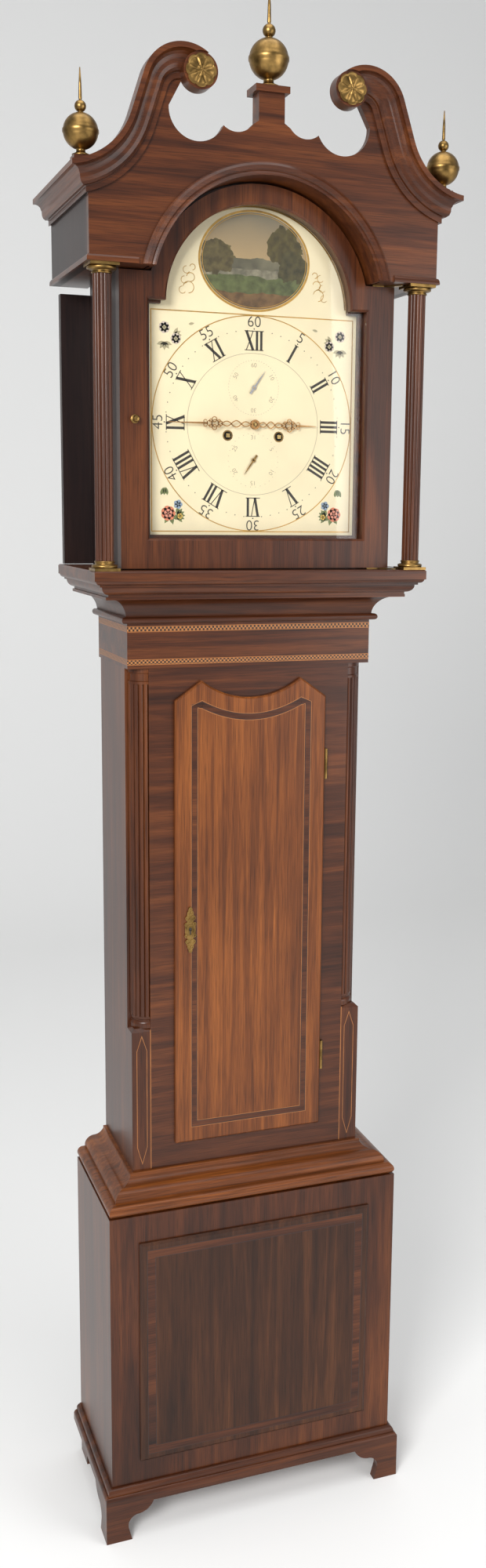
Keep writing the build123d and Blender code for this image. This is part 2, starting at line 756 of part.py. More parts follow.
def finial_outline(foot, ball, top):
    """Half of a ball-and-spire finial, from its foot at zero to its tip."""
    middle = top - spire_share * ball
    small = 0.33 * ball
    band = 1.04 * ball
    low = middle - ball * sin(radians(75))
    high = middle + ball * sin(radians(75))
    small_middle = high + 1.15 * small
    with BuildSketch(mode=Mode.PRIVATE) as half:
        with BuildLine():
            Polyline(
                [(0, 0), (foot, 0), (foot, 0.3 * low), (0.7 * foot, 0.5 * low)]
                + round_side(ball, middle, -75, -6, ball_steps // 2)
                + [(band, middle - 0.1 * ball), (band, middle + 0.1 * ball)]
                + round_side(ball, middle, 6, 75, ball_steps // 2)
                + round_side(small, small_middle, -50, 65, ball_steps // 2)
                + [(0.3 * small, (small_middle + small + top) / 2), (0.8, top), (0, top)],
                close=True,
            )
        make_face()
    return half.sketch


middle_ball = 27.5
corner_ball = 23.5
corner_finial_top = 2205.0

with BuildPart() as finials:
    base = plinth_top + cap_thickness
    axis_plane = facing_front(middle_finial_depth, 0, base)
    with BuildSketch(axis_plane):
        add(finial_outline(16, middle_ball, overall_height - base))
    revolve(axis=Axis((0, at_depth(middle_finial_depth), base), (0, 0, 1)))
    for side in (-1, 1):
        x = side * corner_finial_x
        with BuildSketch(facing_front(corner_finial_depth, x, corner_block_level)):
            add(finial_outline(12, corner_ball, corner_finial_top - corner_block_level))
        revolve(axis=Axis((x, at_depth(corner_finial_depth), corner_block_level), (0, 0, 1)))

# Hood columns with brass bases and capitals
column_x = 238.0
column_reeds = 12
column_valley = 11.3
column_crown = 13.0
brass_end = 14.0
base_plate_half = 18.5
capital_plate_half = 20.5
plate_thickness = 4.0

with BuildPart() as hood_columns:
    for side in (-1, 1):
        with BuildSketch(Plane(
            origin=(side * column_x, at_depth(door_pivot_depth), hood_floor + brass_end), z_dir=(0, 0, 1)
        )):
            with BuildLine():
                reeded_edge(column_reeds, column_valley, column_crown, 360)
            make_face()
        extrude(amount=hood_column_height - 2 * brass_end)
finish(hood_columns.part, "hood_columns")

with BuildPart() as hood_brasses:
    add(rosettes.part)
    add(finials.part)
    for side in (-1, 1):
        for level, half, up in (
            (hood_floor, base_plate_half, 1),
            (soffit_level, capital_plate_half, -1),
        ):
            with BuildSketch(Plane(
                origin=(side * column_x, at_depth(door_pivot_depth), level), x_dir=(1, 0, 0), z_dir=(0, 0, up)
            )):
                Rectangle(2 * half, 2 * half)
            extrude(amount=plate_thickness)
            with BuildSketch(facing_front(door_pivot_depth, side * column_x, level)):
                with BuildLine():
                    a = column_crown
                    Polyline((0, up * plate_thickness), (1.3 * a, up * plate_thickness))
                    Polyline(
                        (1.3 * a, up * plate_thickness), (1.42 * a, up * 5.6), (1.42 * a, up * 7.4), (1.3 * a, up * 9)
                    )
                    Polyline(
                        (1.3 * a, up * 9), (1.08 * a, up * 9.5), (1.02 * a, up * 12),
                        (1.1 * a, up * brass_end), (0, up * brass_end), (0, up * plate_thickness),
                    )
                make_face()
            revolve(axis=Axis((side * column_x, at_depth(door_pivot_depth), 0), (0, 0, 1)))
finish(hood_brasses.part, "hood_brasses")

# Hood door: arched frame, glass, glazing beads, knob and cranked strap hinges
hood_door_half = 209.5
hood_door_gap = 2.0
hood_door_thickness = 20.0
hood_door_arch = 168.0
glass_half_opening = 167.0
glass_bottom = 1591.0
glass_shoulder = 1923.0
glass_arch = 141.0
glass_rebate = 6.5
glass_thickness = 3.0
glass_back = mask_front + 4
door_edge_chamfer = 3.0
strap_thickness = 1.6
knob_x = -188.0
knob_height = 1758.0
hood_door_bottom = hood_floor + hood_door_gap
hood_door_top = soffit_level - hood_door_gap


def glass_outline(margin):
    """The door's light, this far outside its edge."""
    with BuildSketch(mode=Mode.PRIVATE) as light:
        with Locations((0, (glass_bottom + glass_shoulder) / 2)):
            Rectangle(2 * (glass_half_opening + margin), glass_shoulder - glass_bottom + 2 * margin)
        with Locations((0, arch_centre)):
            Circle(glass_arch + margin)
    return light.sketch


with BuildPart() as hood_door:
    with BuildSketch(facing_front(mask_front)):
        with Locations((0, (hood_door_bottom + hood_door_top) / 2)):
            Rectangle(2 * hood_door_half, hood_door_top - hood_door_bottom)
        with Locations((0, arch_centre)):
            Circle(hood_door_arch)
        add(glass_outline(0), mode=Mode.SUBTRACT)
    extrude(amount=hood_door_thickness)
    door_face = hood_door.faces().sort_by(Axis.Y)[0]
    chamfer(door_face.inner_wires()[0].edges(), length=door_edge_chamfer)
    with BuildSketch(facing_front(mask_front)):
        add(glass_outline(glass_rebate))
    extrude(amount=glass_back + glass_thickness - mask_front, mode=Mode.SUBTRACT)
finish(hood_door.part, "hood_door")

with BuildPart() as hood_glass:
    with BuildSketch(facing_front(glass_back)):
        add(glass_outline(glass_rebate - 0.5))
    extrude(amount=glass_thickness)
finish(hood_glass.part, "hood_glass")

with BuildPart() as glazing_beads:
    with BuildSketch(facing_front(mask_front + 1)):
        add(glass_outline(glass_rebate))
        add(glass_outline(1), mode=Mode.SUBTRACT)
    extrude(amount=glass_back - mask_front - 1)
finish(glazing_beads.part, "glazing_beads")

with BuildPart() as hood_knob:
    front = mask_front + hood_door_thickness
    with BuildSketch(Plane(origin=(knob_x, at_depth(front), knob_height), x_dir=(1, 0, 0), z_dir=(0, 0, 1))):
        with BuildLine():
            Polyline((0, 0), (6, 0), (6, -1.2), (2.4, -2.4), (2.4, -5))
            ThreePointArc((2.4, -5), (5.2, -8.6), (3.4, -12))
            Polyline((3.4, -12), (0, -12.6), (0, 0))
        make_face()
    revolve(axis=Axis((knob_x, 0, knob_height), (0, 1, 0)))

strap_reach = 34.0
strap_boss = 5.0

with BuildPart() as hood_hinges:
    add(hood_knob.part)
    strap_slack = (hood_door_gap - strap_thickness) / 2
    for level, out in ((hood_floor + strap_slack, -1), (hood_door_top + strap_slack, 1)):
        with BuildSketch(Plane(origin=(0, 0, level), z_dir=(0, 0, 1))):
            with BuildLine():
                inner = hood_door_half - strap_reach
                Polyline(
                    (inner, at_depth(mask_front + 3)), (hood_door_half - 2, at_depth(mask_front + 3)),
                    (hood_door_half - 2, at_depth(mask_front + hood_door_thickness)),
                    (door_pivot_x + strap_boss, at_depth(door_pivot_depth - 4)),
                    (door_pivot_x, at_depth(door_pivot_depth + strap_boss)),
                    (door_pivot_x - strap_boss, at_depth(door_pivot_depth)),
                    (hood_door_half - 16, at_depth(mask_front + hood_door_thickness - 2)),
                    (inner, at_depth(mask_front + hood_door_thickness - 2)), close=True,
                )
            make_face()
        extrude(amount=strap_thickness)
        with BuildSketch(Plane(
            origin=(door_pivot_x, at_depth(door_pivot_depth), level + strap_thickness / 2), z_dir=(0, 0, out)
        )):
            Circle(pivot_pin)
        extrude(amount=pivot_pin_length - hood_door_gap)
finish(hood_hinges.part, "hood_door_brasses")

# Trunk door with its butt hinges, escutcheon, lock and bolt
lip_thickness = 8.0
lock_x = -99.0
lock_height = 992.0
lock_case_width = 44.0
lock_case_height = 52.0
lock_case_depth = 13.0
bolt_height = 12.0
bolt_thickness = 4.0
bolt_length = 30.0
bolt_start = -112.0
slide_clearance = 0.1
keyhole_radius = 2.2
knuckle_gap = 0.4
knuckle = (hinge_length - 2 * knuckle_gap) / 3
inner_face = trunk_depth - door_inner_thickness
tang_slack = 0.1

with BuildPart() as trunk_door:
    with BuildSketch(facing_front(trunk_depth)):
        add(door_outline(0))
    extrude(amount=lip_thickness)
    chamfer(trunk_door.faces().sort_by(Axis.Y)[0].edges(), length=2.5)
    with BuildSketch(facing_front(inner_face)):
        add(door_outline(door_rebate))
    extrude(amount=door_inner_thickness)
    with BuildSketch(facing_front(hinge_depth - hinge_leaf / 2 - tang_slack)):
        with Locations(*[(door_half_width - hinge_tang / 2, height) for height in hinge_heights]):
            Rectangle(hinge_tang, knuckle + 2 * tang_slack)
    extrude(amount=hinge_leaf + 2 * tang_slack, mode=Mode.SUBTRACT)
    with BuildSketch(facing_front(inner_face)):
        with Locations((lock_x, lock_height)):
            Circle(keyhole_radius)
        with Locations((lock_x, lock_height - 5)):
            Rectangle(2, 8)
    extrude(amount=door_inner_thickness + lip_thickness, mode=Mode.SUBTRACT)
finish(trunk_door.part, "trunk_door")


def knuckle_plane(height, level):
    """A level plane on one hinge's pin line, at this height above the hinge's middle."""
    return Plane(origin=(hinge_x, at_depth(hinge_depth), height + level), z_dir=(0, 0, 1))


with BuildPart() as door_hinge_leaves:
    for height in hinge_heights:
        with BuildSketch(knuckle_plane(height, -knuckle / 2)):
            Circle(hinge_radius)
        extrude(amount=knuckle)
        with BuildSketch(facing_front(hinge_depth - hinge_leaf / 2)):
            with Locations(((door_half_width - hinge_tang + 1 + hinge_x) / 2, height)):
                Rectangle(hinge_x - door_half_width + hinge_tang - 1, knuckle)
        extrude(amount=hinge_leaf)
        with BuildSketch(knuckle_plane(height, -knuckle / 2)):
            Circle(hinge_pin + hinge_running)
        extrude(amount=knuckle, mode=Mode.SUBTRACT)
finish(door_hinge_leaves.part, "door_hinge_leaves")

with BuildPart() as case_hinge_leaves:
    for height in hinge_heights:
        for level in (-hinge_length / 2, knuckle / 2 + knuckle_gap):
            with BuildSketch(knuckle_plane(height, level)):
                Circle(hinge_radius)
            extrude(amount=knuckle)
            with BuildSketch(facing_front(trunk_depth - hinge_tang)):
                with Locations((hinge_x, height + level + knuckle / 2)):
                    Rectangle(hinge_leaf, knuckle)
            extrude(amount=hinge_depth - trunk_depth + hinge_tang)
        with BuildSketch(knuckle_plane(height, -hinge_length / 2)):
            Circle(hinge_pin)
        extrude(amount=hinge_length)
finish(case_hinge_leaves.part, "case_hinge_leaves")

escutcheon_thickness = 1.5
plate_height = 74.0
plate_width = 17.0

with BuildPart() as escutcheon:
    with BuildSketch(facing_front(trunk_depth + lip_thickness)):
        with Locations((lock_x, lock_height)):
            Ellipse(plate_width / 2, 0.22 * plate_height)
        with Locations((lock_x, lock_height + 0.27 * plate_height), (lock_x, lock_height - 0.27 * plate_height)):
            Ellipse(0.36 * plate_width, 0.13 * plate_height)
        with Locations((lock_x, lock_height + 0.42 * plate_height), (lock_x, lock_height - 0.42 * plate_height)):
            Ellipse(0.2 * plate_width, 0.08 * plate_height)
        with Locations((lock_x, lock_height)):
            Circle(keyhole_radius, mode=Mode.SUBTRACT)
        with Locations((lock_x, lock_height - 5)):
            Rectangle(2, 8, mode=Mode.SUBTRACT)
    extrude(amount=escutcheon_thickness)
finish(escutcheon.part, "escutcheon")

case_left = bolt_start - 1.0
case_middle = case_left + lock_case_width / 2
case_back = inner_face - lock_case_depth
bolt_back = case_back + 2.5

with BuildPart() as door_lock:
    with BuildSketch(facing_front(case_back)):
        with Locations((case_middle, lock_height)):
            Rectangle(lock_case_width, lock_case_height)
    extrude(amount=lock_case_depth)
    with BuildSketch(facing_front(bolt_back - slide_clearance)):
        with Locations((case_left + (bolt_length + 1.5) / 2, lock_height + 12)):
            Rectangle(bolt_length + 1.5, bolt_height + 2 * slide_clearance)
    extrude(amount=bolt_thickness + 2 * slide_clearance, mode=Mode.SUBTRACT)
    with BuildSketch(facing_front(bolt_back)):
        with Locations((lock_x, lock_height)):
            Circle(keyhole_radius)
    extrude(amount=lock_case_depth, mode=Mode.SUBTRACT)
finish(door_lock.part, "door_lock")

with BuildPart() as lock_bolt:
    with BuildSketch(facing_front(bolt_back)):
        with Locations((bolt_start + bolt_length / 2, lock_height + 12)):
            Rectangle(bolt_length, bolt_height)
    extrude(amount=bolt_thickness)
finish(lock_bolt.part, "lock_bolt")

# Dial plate: square foot, arched head, and holes for the arbors and winding squares
dial_z = 1757.0
dial_half = 165.0
dial_bottom = 1592.0
dial_arch = 148.0
dial_back = 183.0
dial_thickness = 2.0
winding_x = 40.0
winding_drop = 16.5
seconds_rise = 53.0
date_drop = 51.5
hand_hole = 5.0
small_hole = 2.6
winding_hole = 6.5

with BuildPart() as dial_plate:
    with BuildSketch(facing_front(dial_back)):
        with Locations((0, (dial_bottom + arch_centre) / 2)):
            Rectangle(2 * dial_half, arch_centre - dial_bottom)
        with Locations((0, arch_centre)):
            Circle(dial_arch)
        with Locations((0, dial_z)):
            Circle(hand_hole, mode=Mode.SUBTRACT)
        with Locations((-winding_x, dial_z - winding_drop), (winding_x, dial_z - winding_drop)):
            Circle(winding_hole, mode=Mode.SUBTRACT)
        with Locations((0, dial_z + seconds_rise), (0, dial_z - date_drop)):
            Circle(small_hole, mode=Mode.SUBTRACT)
    extrude(amount=dial_thickness)
finish(dial_plate.part, "dial_plate")

# Seatboard on the cheeks, with holes for the lines
seat_thickness = 20.0
seat_back = 88.0
seat_front = 178.0
line_depth = 126.0
line_inner = 64.0
line_outer = 104.0
line_hole = 5.0
line_radius = 1.0
seat_top = cheek_top + seat_thickness

with BuildPart() as seatboard:
    with BuildSketch(facing_front(seat_back)):
        with Locations((0, cheek_top + seat_thickness / 2)):
            Rectangle(2 * trunk_half_width - 2, seat_thickness)
    extrude(amount=seat_front - seat_back)
    with BuildSketch(Plane(origin=(0, at_depth(line_depth), cheek_top), z_dir=(0, 0, 1))):
        with Locations(*[(side * x, 0) for side in (-1, 1) for x in (line_inner, line_outer)]):
            Circle(line_hole)
    extrude(amount=seat_thickness, mode=Mode.SUBTRACT)
finish(seatboard.part, "seatboard")

# Movement frame: two plates, four pillars and four dial feet
back_plate_depth = 92.0
front_plate_depth = 157.0
plate_metal = 3.0
plate_half = 80.0
plate_top = dial_z + 105.0
pillar_radius = 5.0
pillar_x = 72.0
pillar_levels = (dial_z - 60.0, dial_z + 97.0)
pivot_radius = 1.2
great_mesh_depth = back_plate_depth + 7
centre_wheel_depth = front_plate_depth - 7
pivot_fit = 0.05
barrel_arbor = 4.0
third_x = 11.0
third_rise = 28.6
pallet_rise = 81.3
minute_wheel_x = 16.2
minute_wheel_drop = 28.06
hammer_x = 70.0
hammer_rise = 60.0
plate_front = front_plate_depth + plate_metal
plate_inner = back_plate_depth + plate_metal
train_points = [
    (0, dial_z), (third_x, dial_z + third_rise), (0, dial_z + seconds_rise), (0, dial_z + pallet_rise),
    (hammer_x, dial_z + hammer_rise),
]
barrel_points = [(side * winding_x, dial_z - winding_drop) for side in (-1, 1)]

with BuildPart() as movement_frame:
    with BuildSketch(facing_front(back_plate_depth)):
        with Locations((0, (seat_top + plate_top) / 2)):
            Rectangle(2 * plate_half, plate_top - seat_top)
    extrude(amount=plate_metal)
    with BuildSketch(facing_front(front_plate_depth)):
        with Locations((0, (seat_top + plate_top) / 2)):
            Rectangle(2 * plate_half, plate_top - seat_top)
    extrude(amount=plate_metal)
    with BuildSketch(facing_front(plate_inner)):
        with Locations(*[(side * pillar_x, level) for side in (-1, 1) for level in pillar_levels]):
            Circle(pillar_radius)
    extrude(amount=front_plate_depth - plate_inner)
    with BuildSketch(facing_front(plate_front)):
        with Locations(*[(side * (pillar_x - 6), level) for side in (-1, 1) for level in pillar_levels]):
            Circle(3.5)
        with Locations((minute_wheel_x, dial_z - minute_wheel_drop), (0, dial_z - date_drop)):
            Circle(pivot_radius)
    extrude(amount=dial_back - plate_front)
    with BuildSketch(facing_front(back_plate_depth)):
        with Locations(*train_points):
            Circle(pivot_radius + pivot_fit)
        with Locations(*barrel_points):
            Circle(barrel_arbor + pivot_fit)
    extrude(amount=plate_front - back_plate_depth, mode=Mode.SUBTRACT)
finish(movement_frame.part, "movement_frame")


def toothed(teeth, module, phase, above, below, x, z):
    """A wheel or pinion outline on the front-facing plane: pointed teeth between two circles."""
    pitch = teeth * module / 2
    corners = []
    for i in range(teeth):
        tip = phase + 2 * pi * i / teeth
        root = tip + pi / teeth
        corners.append(((pitch + above * module) * cos(tip), (pitch + above * module) * sin(tip)))
        corners.append(((pitch - below * module) * cos(root), (pitch - below * module) * sin(root)))
    with BuildSketch(mode=Mode.PRIVATE) as outline:
        with Locations((x, z)):
            Polygon(*corners, align=None)
    return outline.sketch


def wheel_outline(teeth, module, phase, x, z):
    """A wheel's teeth; one tooth points along the phase angle."""
    return toothed(teeth, module, phase, 0.9, 1.0, x, z)


def pinion_outline(leaves, module, phase, x, z):
    """A pinion's leaves; a gap faces along the phase angle."""
    return toothed(leaves, module, phase + pi / leaves, 0.4, 1.4, x, z)


def crossings(radius, rim, hub, spoke, x, z):
    """The openings between a wheel's four arms."""
    with BuildSketch(mode=Mode.PRIVATE) as openings:
        with Locations((x, z)):
            Circle(radius - rim)
            Circle(hub, mode=Mode.SUBTRACT)
            Rectangle(2 * radius, spoke, mode=Mode.SUBTRACT)
            Rectangle(spoke, 2 * radius, mode=Mode.SUBTRACT)
    return openings.sketch


centre_teeth = 60
centre_module = 0.9
great_teeth = 96
great_module = 0.832
strike_teeth = 84
third_teeth = 56
third_module = 0.85
pinion_leaves = 8
escape_leaves = 7
motion_teeth = 36
motion_module = 0.9
hour_teeth = 72
minute_leaves = 6
hour_module = 2 * motion_module * motion_teeth / (hour_teeth + minute_leaves)
to_great = atan2(-winding_drop, winding_x)
to_third = atan2(third_rise, third_x)
to_minute = atan2(-minute_wheel_drop, minute_wheel_x)
to_escape = atan2(seconds_rise - third_rise, -third_x)
arbor = 2.0
wheel_thickness = 2.0
pipe_fit = 0.05
minute_depth = 193.0
hour_depth = 189.5


def rod(x, z, start, length, radius):
    """A round arbor from front to back."""
    with BuildPart(mode=Mode.PRIVATE) as bar:
        with BuildSketch(facing_front(start)):
            with Locations((x, z)):
                Circle(radius)
        extrude(amount=length)
    return bar.part


with BuildPart() as centre_wheel:
    with BuildSketch(facing_front(back_plate_depth)):
        with Locations((0, dial_z)):
            Circle(pivot_radius)
    extrude(amount=plate_metal + 1)
    with BuildSketch(facing_front(plate_inner + 1)):
        with Locations((0, dial_z)):
            Circle(arbor)
    extrude(amount=front_plate_depth - plate_inner - 2)
    with BuildSketch(facing_front(front_plate_depth - 1)):
        with Locations((0, dial_z)):
            Circle(pivot_radius)
    extrude(amount=plate_metal + 2)
    with BuildSketch(facing_front(plate_front + 1)):
        with Locations((0, dial_z)):
            Circle(arbor)
    extrude(amount=minute_depth + 2.5 - plate_front - 1)
    with BuildSketch(facing_front(great_mesh_depth)):
        add(pinion_outline(pinion_leaves, great_module, to_great, 0, dial_z))
    extrude(amount=5)
    with BuildSketch(facing_front(centre_wheel_depth)):
        add(wheel_outline(centre_teeth, centre_module, to_third, 0, dial_z))
        add(crossings(24.5, 3, 6, 3.5, 0, dial_z), mode=Mode.SUBTRACT)
    extrude(amount=wheel_thickness)
    with BuildSketch(facing_front(plate_front + 3)):
        add(wheel_outline(motion_teeth, motion_module, to_minute, 0, dial_z))
    extrude(amount=wheel_thickness)
finish(centre_wheel.part, "centre_wheel")

with BuildPart() as minute_wheel:
    with BuildSketch(facing_front(plate_front + 3)):
        add(pinion_outline(motion_teeth, motion_module, to_minute + pi, minute_wheel_x, dial_z - minute_wheel_drop))
    extrude(amount=wheel_thickness)
    with BuildSketch(facing_front(plate_front + 3 + wheel_thickness)):
        add(pinion_outline(minute_leaves, hour_module, to_minute + pi, minute_wheel_x, dial_z - minute_wheel_drop))
    extrude(amount=7)
    with BuildSketch(facing_front(plate_front + 3)):
        with Locations((minute_wheel_x, dial_z - minute_wheel_drop)):
            Circle(pivot_radius + pivot_fit)
    extrude(amount=wheel_thickness + 7, mode=Mode.SUBTRACT)
finish(minute_wheel.part, "minute_wheel")

hour_pipe = 3.4

with BuildPart() as hour_wheel:
    with BuildSketch(facing_front(plate_front + 8)):
        add(wheel_outline(hour_teeth, hour_module, to_minute, 0, dial_z))
        add(crossings(27, 3, 6, 3.5, 0, dial_z), mode=Mode.SUBTRACT)
    extrude(amount=wheel_thickness)
    with BuildSketch(facing_front(plate_front + 7)):
        with Locations((0, dial_z)):
            Circle(hour_pipe)
    extrude(amount=hour_depth + 1.8 - plate_front - 7)
    with BuildSketch(facing_front(plate_front + 7)):
        with Locations((0, dial_z)):
            Circle(arbor + pipe_fit)
    extrude(amount=hour_depth + 2 - plate_front - 7, mode=Mode.SUBTRACT)
finish(hour_wheel.part, "hour_wheel")

# Hands: pierced heads near the centre and slender points
hand_metal = 1.0
minute_hand_length = 136.0
hour_hand_length = 98.0


def hand_outline(length, hub, bore, tail, bulb, width, turn):
    """A pierced hand pointing to twelve, turned clockwise by the given angle about the dial's centre."""
    with BuildSketch(mode=Mode.PRIVATE) as hand:
        Circle(hub)
        with BuildLine():
            Polyline(
                (-width, 0), (-0.6 * width, 0.3 * length), (-0.25 * width, length - 2), (0, length),
                (0.25 * width, length - 2), (0.6 * width, 0.3 * length), (width, 0), (-width, 0),
            )
        make_face()
        with Locations((0, bulb)):
            Circle(0.085 * length)
        with Locations((0, bulb + 0.14 * length)):
            Circle(0.055 * length)
        with Locations((0, bulb)):
            Circle(0.05 * length, mode=Mode.SUBTRACT)
        with Locations((0, bulb + 0.14 * length)):
            Circle(0.028 * length, mode=Mode.SUBTRACT)
        if tail:
            with Locations((0, -tail / 2)):
                Rectangle(1.2 * width, tail)
        if bore:
            Circle(bore, mode=Mode.SUBTRACT)
    return hand.sketch.rotate(Axis.Z, -turn).moved(Location((0, dial_z)))


with BuildPart() as minute_hand:
    with BuildSketch(facing_front(minute_depth)):
        add(hand_outline(minute_hand_length, 6, arbor, 0, 0.3 * minute_hand_length, 3, 270))
    extrude(amount=hand_metal)
finish(minute_hand.part, "minute_hand")

with BuildPart() as hour_hand:
    with BuildSketch(facing_front(hour_depth)):
        add(hand_outline(hour_hand_length, 7, hour_pipe, 0, 0.34 * hour_hand_length, 3.4, 90))
    extrude(amount=hand_metal)
finish(hour_hand.part, "hour_hand")


def train_arbor(x, z, front=plate_front):
    """An arbor between the plates with its two pivots."""
    with BuildPart(mode=Mode.PRIVATE) as shaft:
        add(rod(x, z, back_plate_depth, plate_metal + 1, pivot_radius))
        add(rod(x, z, plate_inner + 1, front_plate_depth - plate_inner - 2, arbor))
        add(rod(x, z, front_plate_depth - 1, front - front_plate_depth + 1, pivot_radius))
    return shaft.part


# Third wheel and escape wheel; the escape arbor carries the seconds hand
third_depth = 124.0
escape_depth = 107.0
escape_teeth = 30
escape_radius = 20.0
third_z = dial_z + third_rise
escape_z = dial_z + seconds_rise
seconds_depth = 187.0

with BuildPart() as third_wheel:
    add(train_arbor(third_x, third_z))
    with BuildSketch(facing_front(centre_wheel_depth - 1)):
        add(pinion_outline(pinion_leaves, centre_module, to_third + pi, third_x, third_z))
    extrude(amount=4)
    with BuildSketch(facing_front(third_depth)):
        add(wheel_outline(third_teeth, third_module, to_escape, third_x, third_z))
        add(crossings(21, 3, 5, 3, third_x, third_z), mode=Mode.SUBTRACT)
    extrude(amount=wheel_thickness)
finish(third_wheel.part, "third_wheel")

with BuildPart() as escape_wheel:
    add(train_arbor(0, escape_z, seconds_depth + 0.5))
    with BuildSketch(facing_front(third_depth - 1)):
        add(pinion_outline(escape_leaves, third_module, to_escape + pi, 0, escape_z))
    extrude(amount=4)
    with BuildSketch(facing_front(escape_depth)):
        with BuildLine():
            outline = []
            root = escape_radius - 4
            for i in range(escape_teeth):
                a = radians(42) + 2 * pi * i / escape_teeth
                for radius, turn in ((root, -0.08), (escape_radius, -0.03), (escape_radius, 0), (root, 0.02)):
                    outline.append((radius * cos(a + turn), escape_z + radius * sin(a + turn)))
            Polyline(outline, close=True)
        make_face()
        add(crossings(15.5, 2.5, 4, 2.5, 0, escape_z), mode=Mode.SUBTRACT)
    extrude(amount=1.6)
finish(escape_wheel.part, "escape_wheel")


def small_hand(length, x, z, turn):
    """A plain small hand with a tail, turned clockwise about its arbor."""
    with BuildSketch(mode=Mode.PRIVATE) as hand:
        Circle(3.2)
        with BuildLine():
            Polyline(
                (-1.3, 0), (-0.9, 0.6 * length), (0, length), (0.9, 0.6 * length), (1.3, 0),
                (1.6, -0.35 * length), (-1.6, -0.35 * length), close=True,
            )
        make_face()
        Circle(pivot_radius, mode=Mode.SUBTRACT)
    return hand.sketch.rotate(Axis.Z, -turn).moved(Location((x, z)))


with BuildPart() as seconds_hand:
    with BuildSketch(facing_front(seconds_depth)):
        add(small_hand(30, 0, escape_z, 35))
    extrude(amount=0.8)
finish(seconds_hand.part, "seconds_hand")

date_z = dial_z - date_drop
date_hand_length = 26.0
date_hand_turn = 215.0

with BuildPart() as date_hand:
    with BuildSketch(facing_front(seconds_depth)):
        add(small_hand(date_hand_length, 0, date_z, date_hand_turn))
    extrude(amount=0.8)
    with BuildSketch(facing_front(dial_back + 0.5)):
        with Locations((0, date_z)):
            Circle(2.2)
            Circle(pivot_radius + pivot_fit, mode=Mode.SUBTRACT)
    extrude(amount=seconds_depth - dial_back - 0.5)
finish(date_hand.part, "date_hand")

# Barrels, great wheels and winding squares
barrel_radius = 24.0
barrel_start = 106.0
barrel_length = 40.0
great_depth = 100.0
winding_z = dial_z - winding_drop
square_end = 187.0

with BuildPart() as going_great_wheel:
    with BuildSketch(facing_front(great_depth)):
        add(wheel_outline(great_teeth, great_module, to_great + pi, winding_x, winding_z))
        add(crossings(38, 6, 10, 5, winding_x, winding_z), mode=Mode.SUBTRACT)
        with Locations((winding_x, winding_z)):
            Circle(barrel_arbor + pivot_fit, mode=Mode.SUBTRACT)
    extrude(amount=3)
finish(going_great_wheel.part, "going_great_wheel")


def barrel_on_arbor(x):
    """A grooved barrel with its flanges, ratchet, arbor and winding square."""
    with BuildPart(mode=Mode.PRIVATE) as drum:
        add(rod(x, winding_z, back_plate_depth, plate_front - back_plate_depth + 8, barrel_arbor))
        add(rod(x, winding_z, barrel_start, barrel_length, barrel_radius))
        add(rod(x, winding_z, barrel_start, 1.5, barrel_radius + 3))
        add(rod(x, winding_z, barrel_start + barrel_length - 1.5, 1.5, barrel_radius + 3))
        with BuildSketch(facing_front(plate_front + 8)):
            with Locations((x, winding_z)):
                Rectangle(5.6, 5.6)
        extrude(amount=square_end - plate_front - 8)
    return drum.part


with BuildPart() as going_barrel:
    add(barrel_on_arbor(winding_x))
    with BuildSketch(facing_front(great_depth + 3.4)):
        add(wheel_outline(24, 1.4, 0, winding_x, winding_z))
    extrude(amount=2.6)
finish(going_barrel.part, "going_barrel")

with BuildPart() as strike_barrel:
    add(barrel_on_arbor(-winding_x))
    with BuildSketch(facing_front(great_depth)):
        add(wheel_outline(strike_teeth, great_module, 0, -winding_x, winding_z))
        add(crossings(33, 6, 10, 5, -winding_x, winding_z), mode=Mode.SUBTRACT)
    extrude(amount=3)
    add(rod(-winding_x, winding_z, great_depth + 3, barrel_start - great_depth - 3, 10))
finish(strike_barrel.part, "strike_barrel")

# Anchor on its arbor with the crutch behind the back plate
pallet_z = dial_z + pallet_rise
nib_radius = 20.45
cock_depth = 66.0
cock_metal = 4.0
crutch_length = 120.0
crutch_depth = 86.0
pendulum_depth = 78.0
fork_gap = 3.1

with BuildPart() as anchor:
    add(rod(0, pallet_z, crutch_depth - 2, plate_front - crutch_depth + 2, pivot_radius))
    add(rod(0, pallet_z, plate_inner + 1, front_plate_depth - plate_inner - 2, arbor))
    with BuildSketch(facing_front(escape_depth - 0.7)):
        with Locations((0, pallet_z)):
            Circle(5)
        for side in (-1, 1):
            nib_x = side * nib_radius * cos(radians(45))
            nib_z = escape_z + nib_radius * sin(radians(45))
            with BuildLine():
                Polyline(
                    (side * 2, pallet_z + 4), (side * 17, pallet_z - 3), (nib_x + side * 4.5, nib_z + 3),
                    (nib_x, nib_z), (nib_x + side * 0.2, nib_z + 4.6), (side * 12, pallet_z - 5.5),
                    (side * 2, pallet_z - 3), close=True,
                )
            make_face()
    extrude(amount=3)
    with BuildSketch(facing_front(crutch_depth - 2)):
        with Locations((0, pallet_z)):
            Circle(4)
        with Locations((0, pallet_z - crutch_length / 2)):
            Rectangle(3, crutch_length)
        with Locations((0, pallet_z - crutch_length)):
            Rectangle(14, 5)
    extrude(amount=2)
    with BuildSketch(facing_front(pendulum_depth - 4)):
        with Locations((-fork_gap - 1.5, pallet_z - crutch_length), (fork_gap + 1.5, pallet_z - crutch_length)):
            Rectangle(2.6, 5)
    extrude(amount=crutch_depth - pendulum_depth + 4)
finish(anchor.part, "anchor")

cock_half = 26.0
stud_drop = 8.0

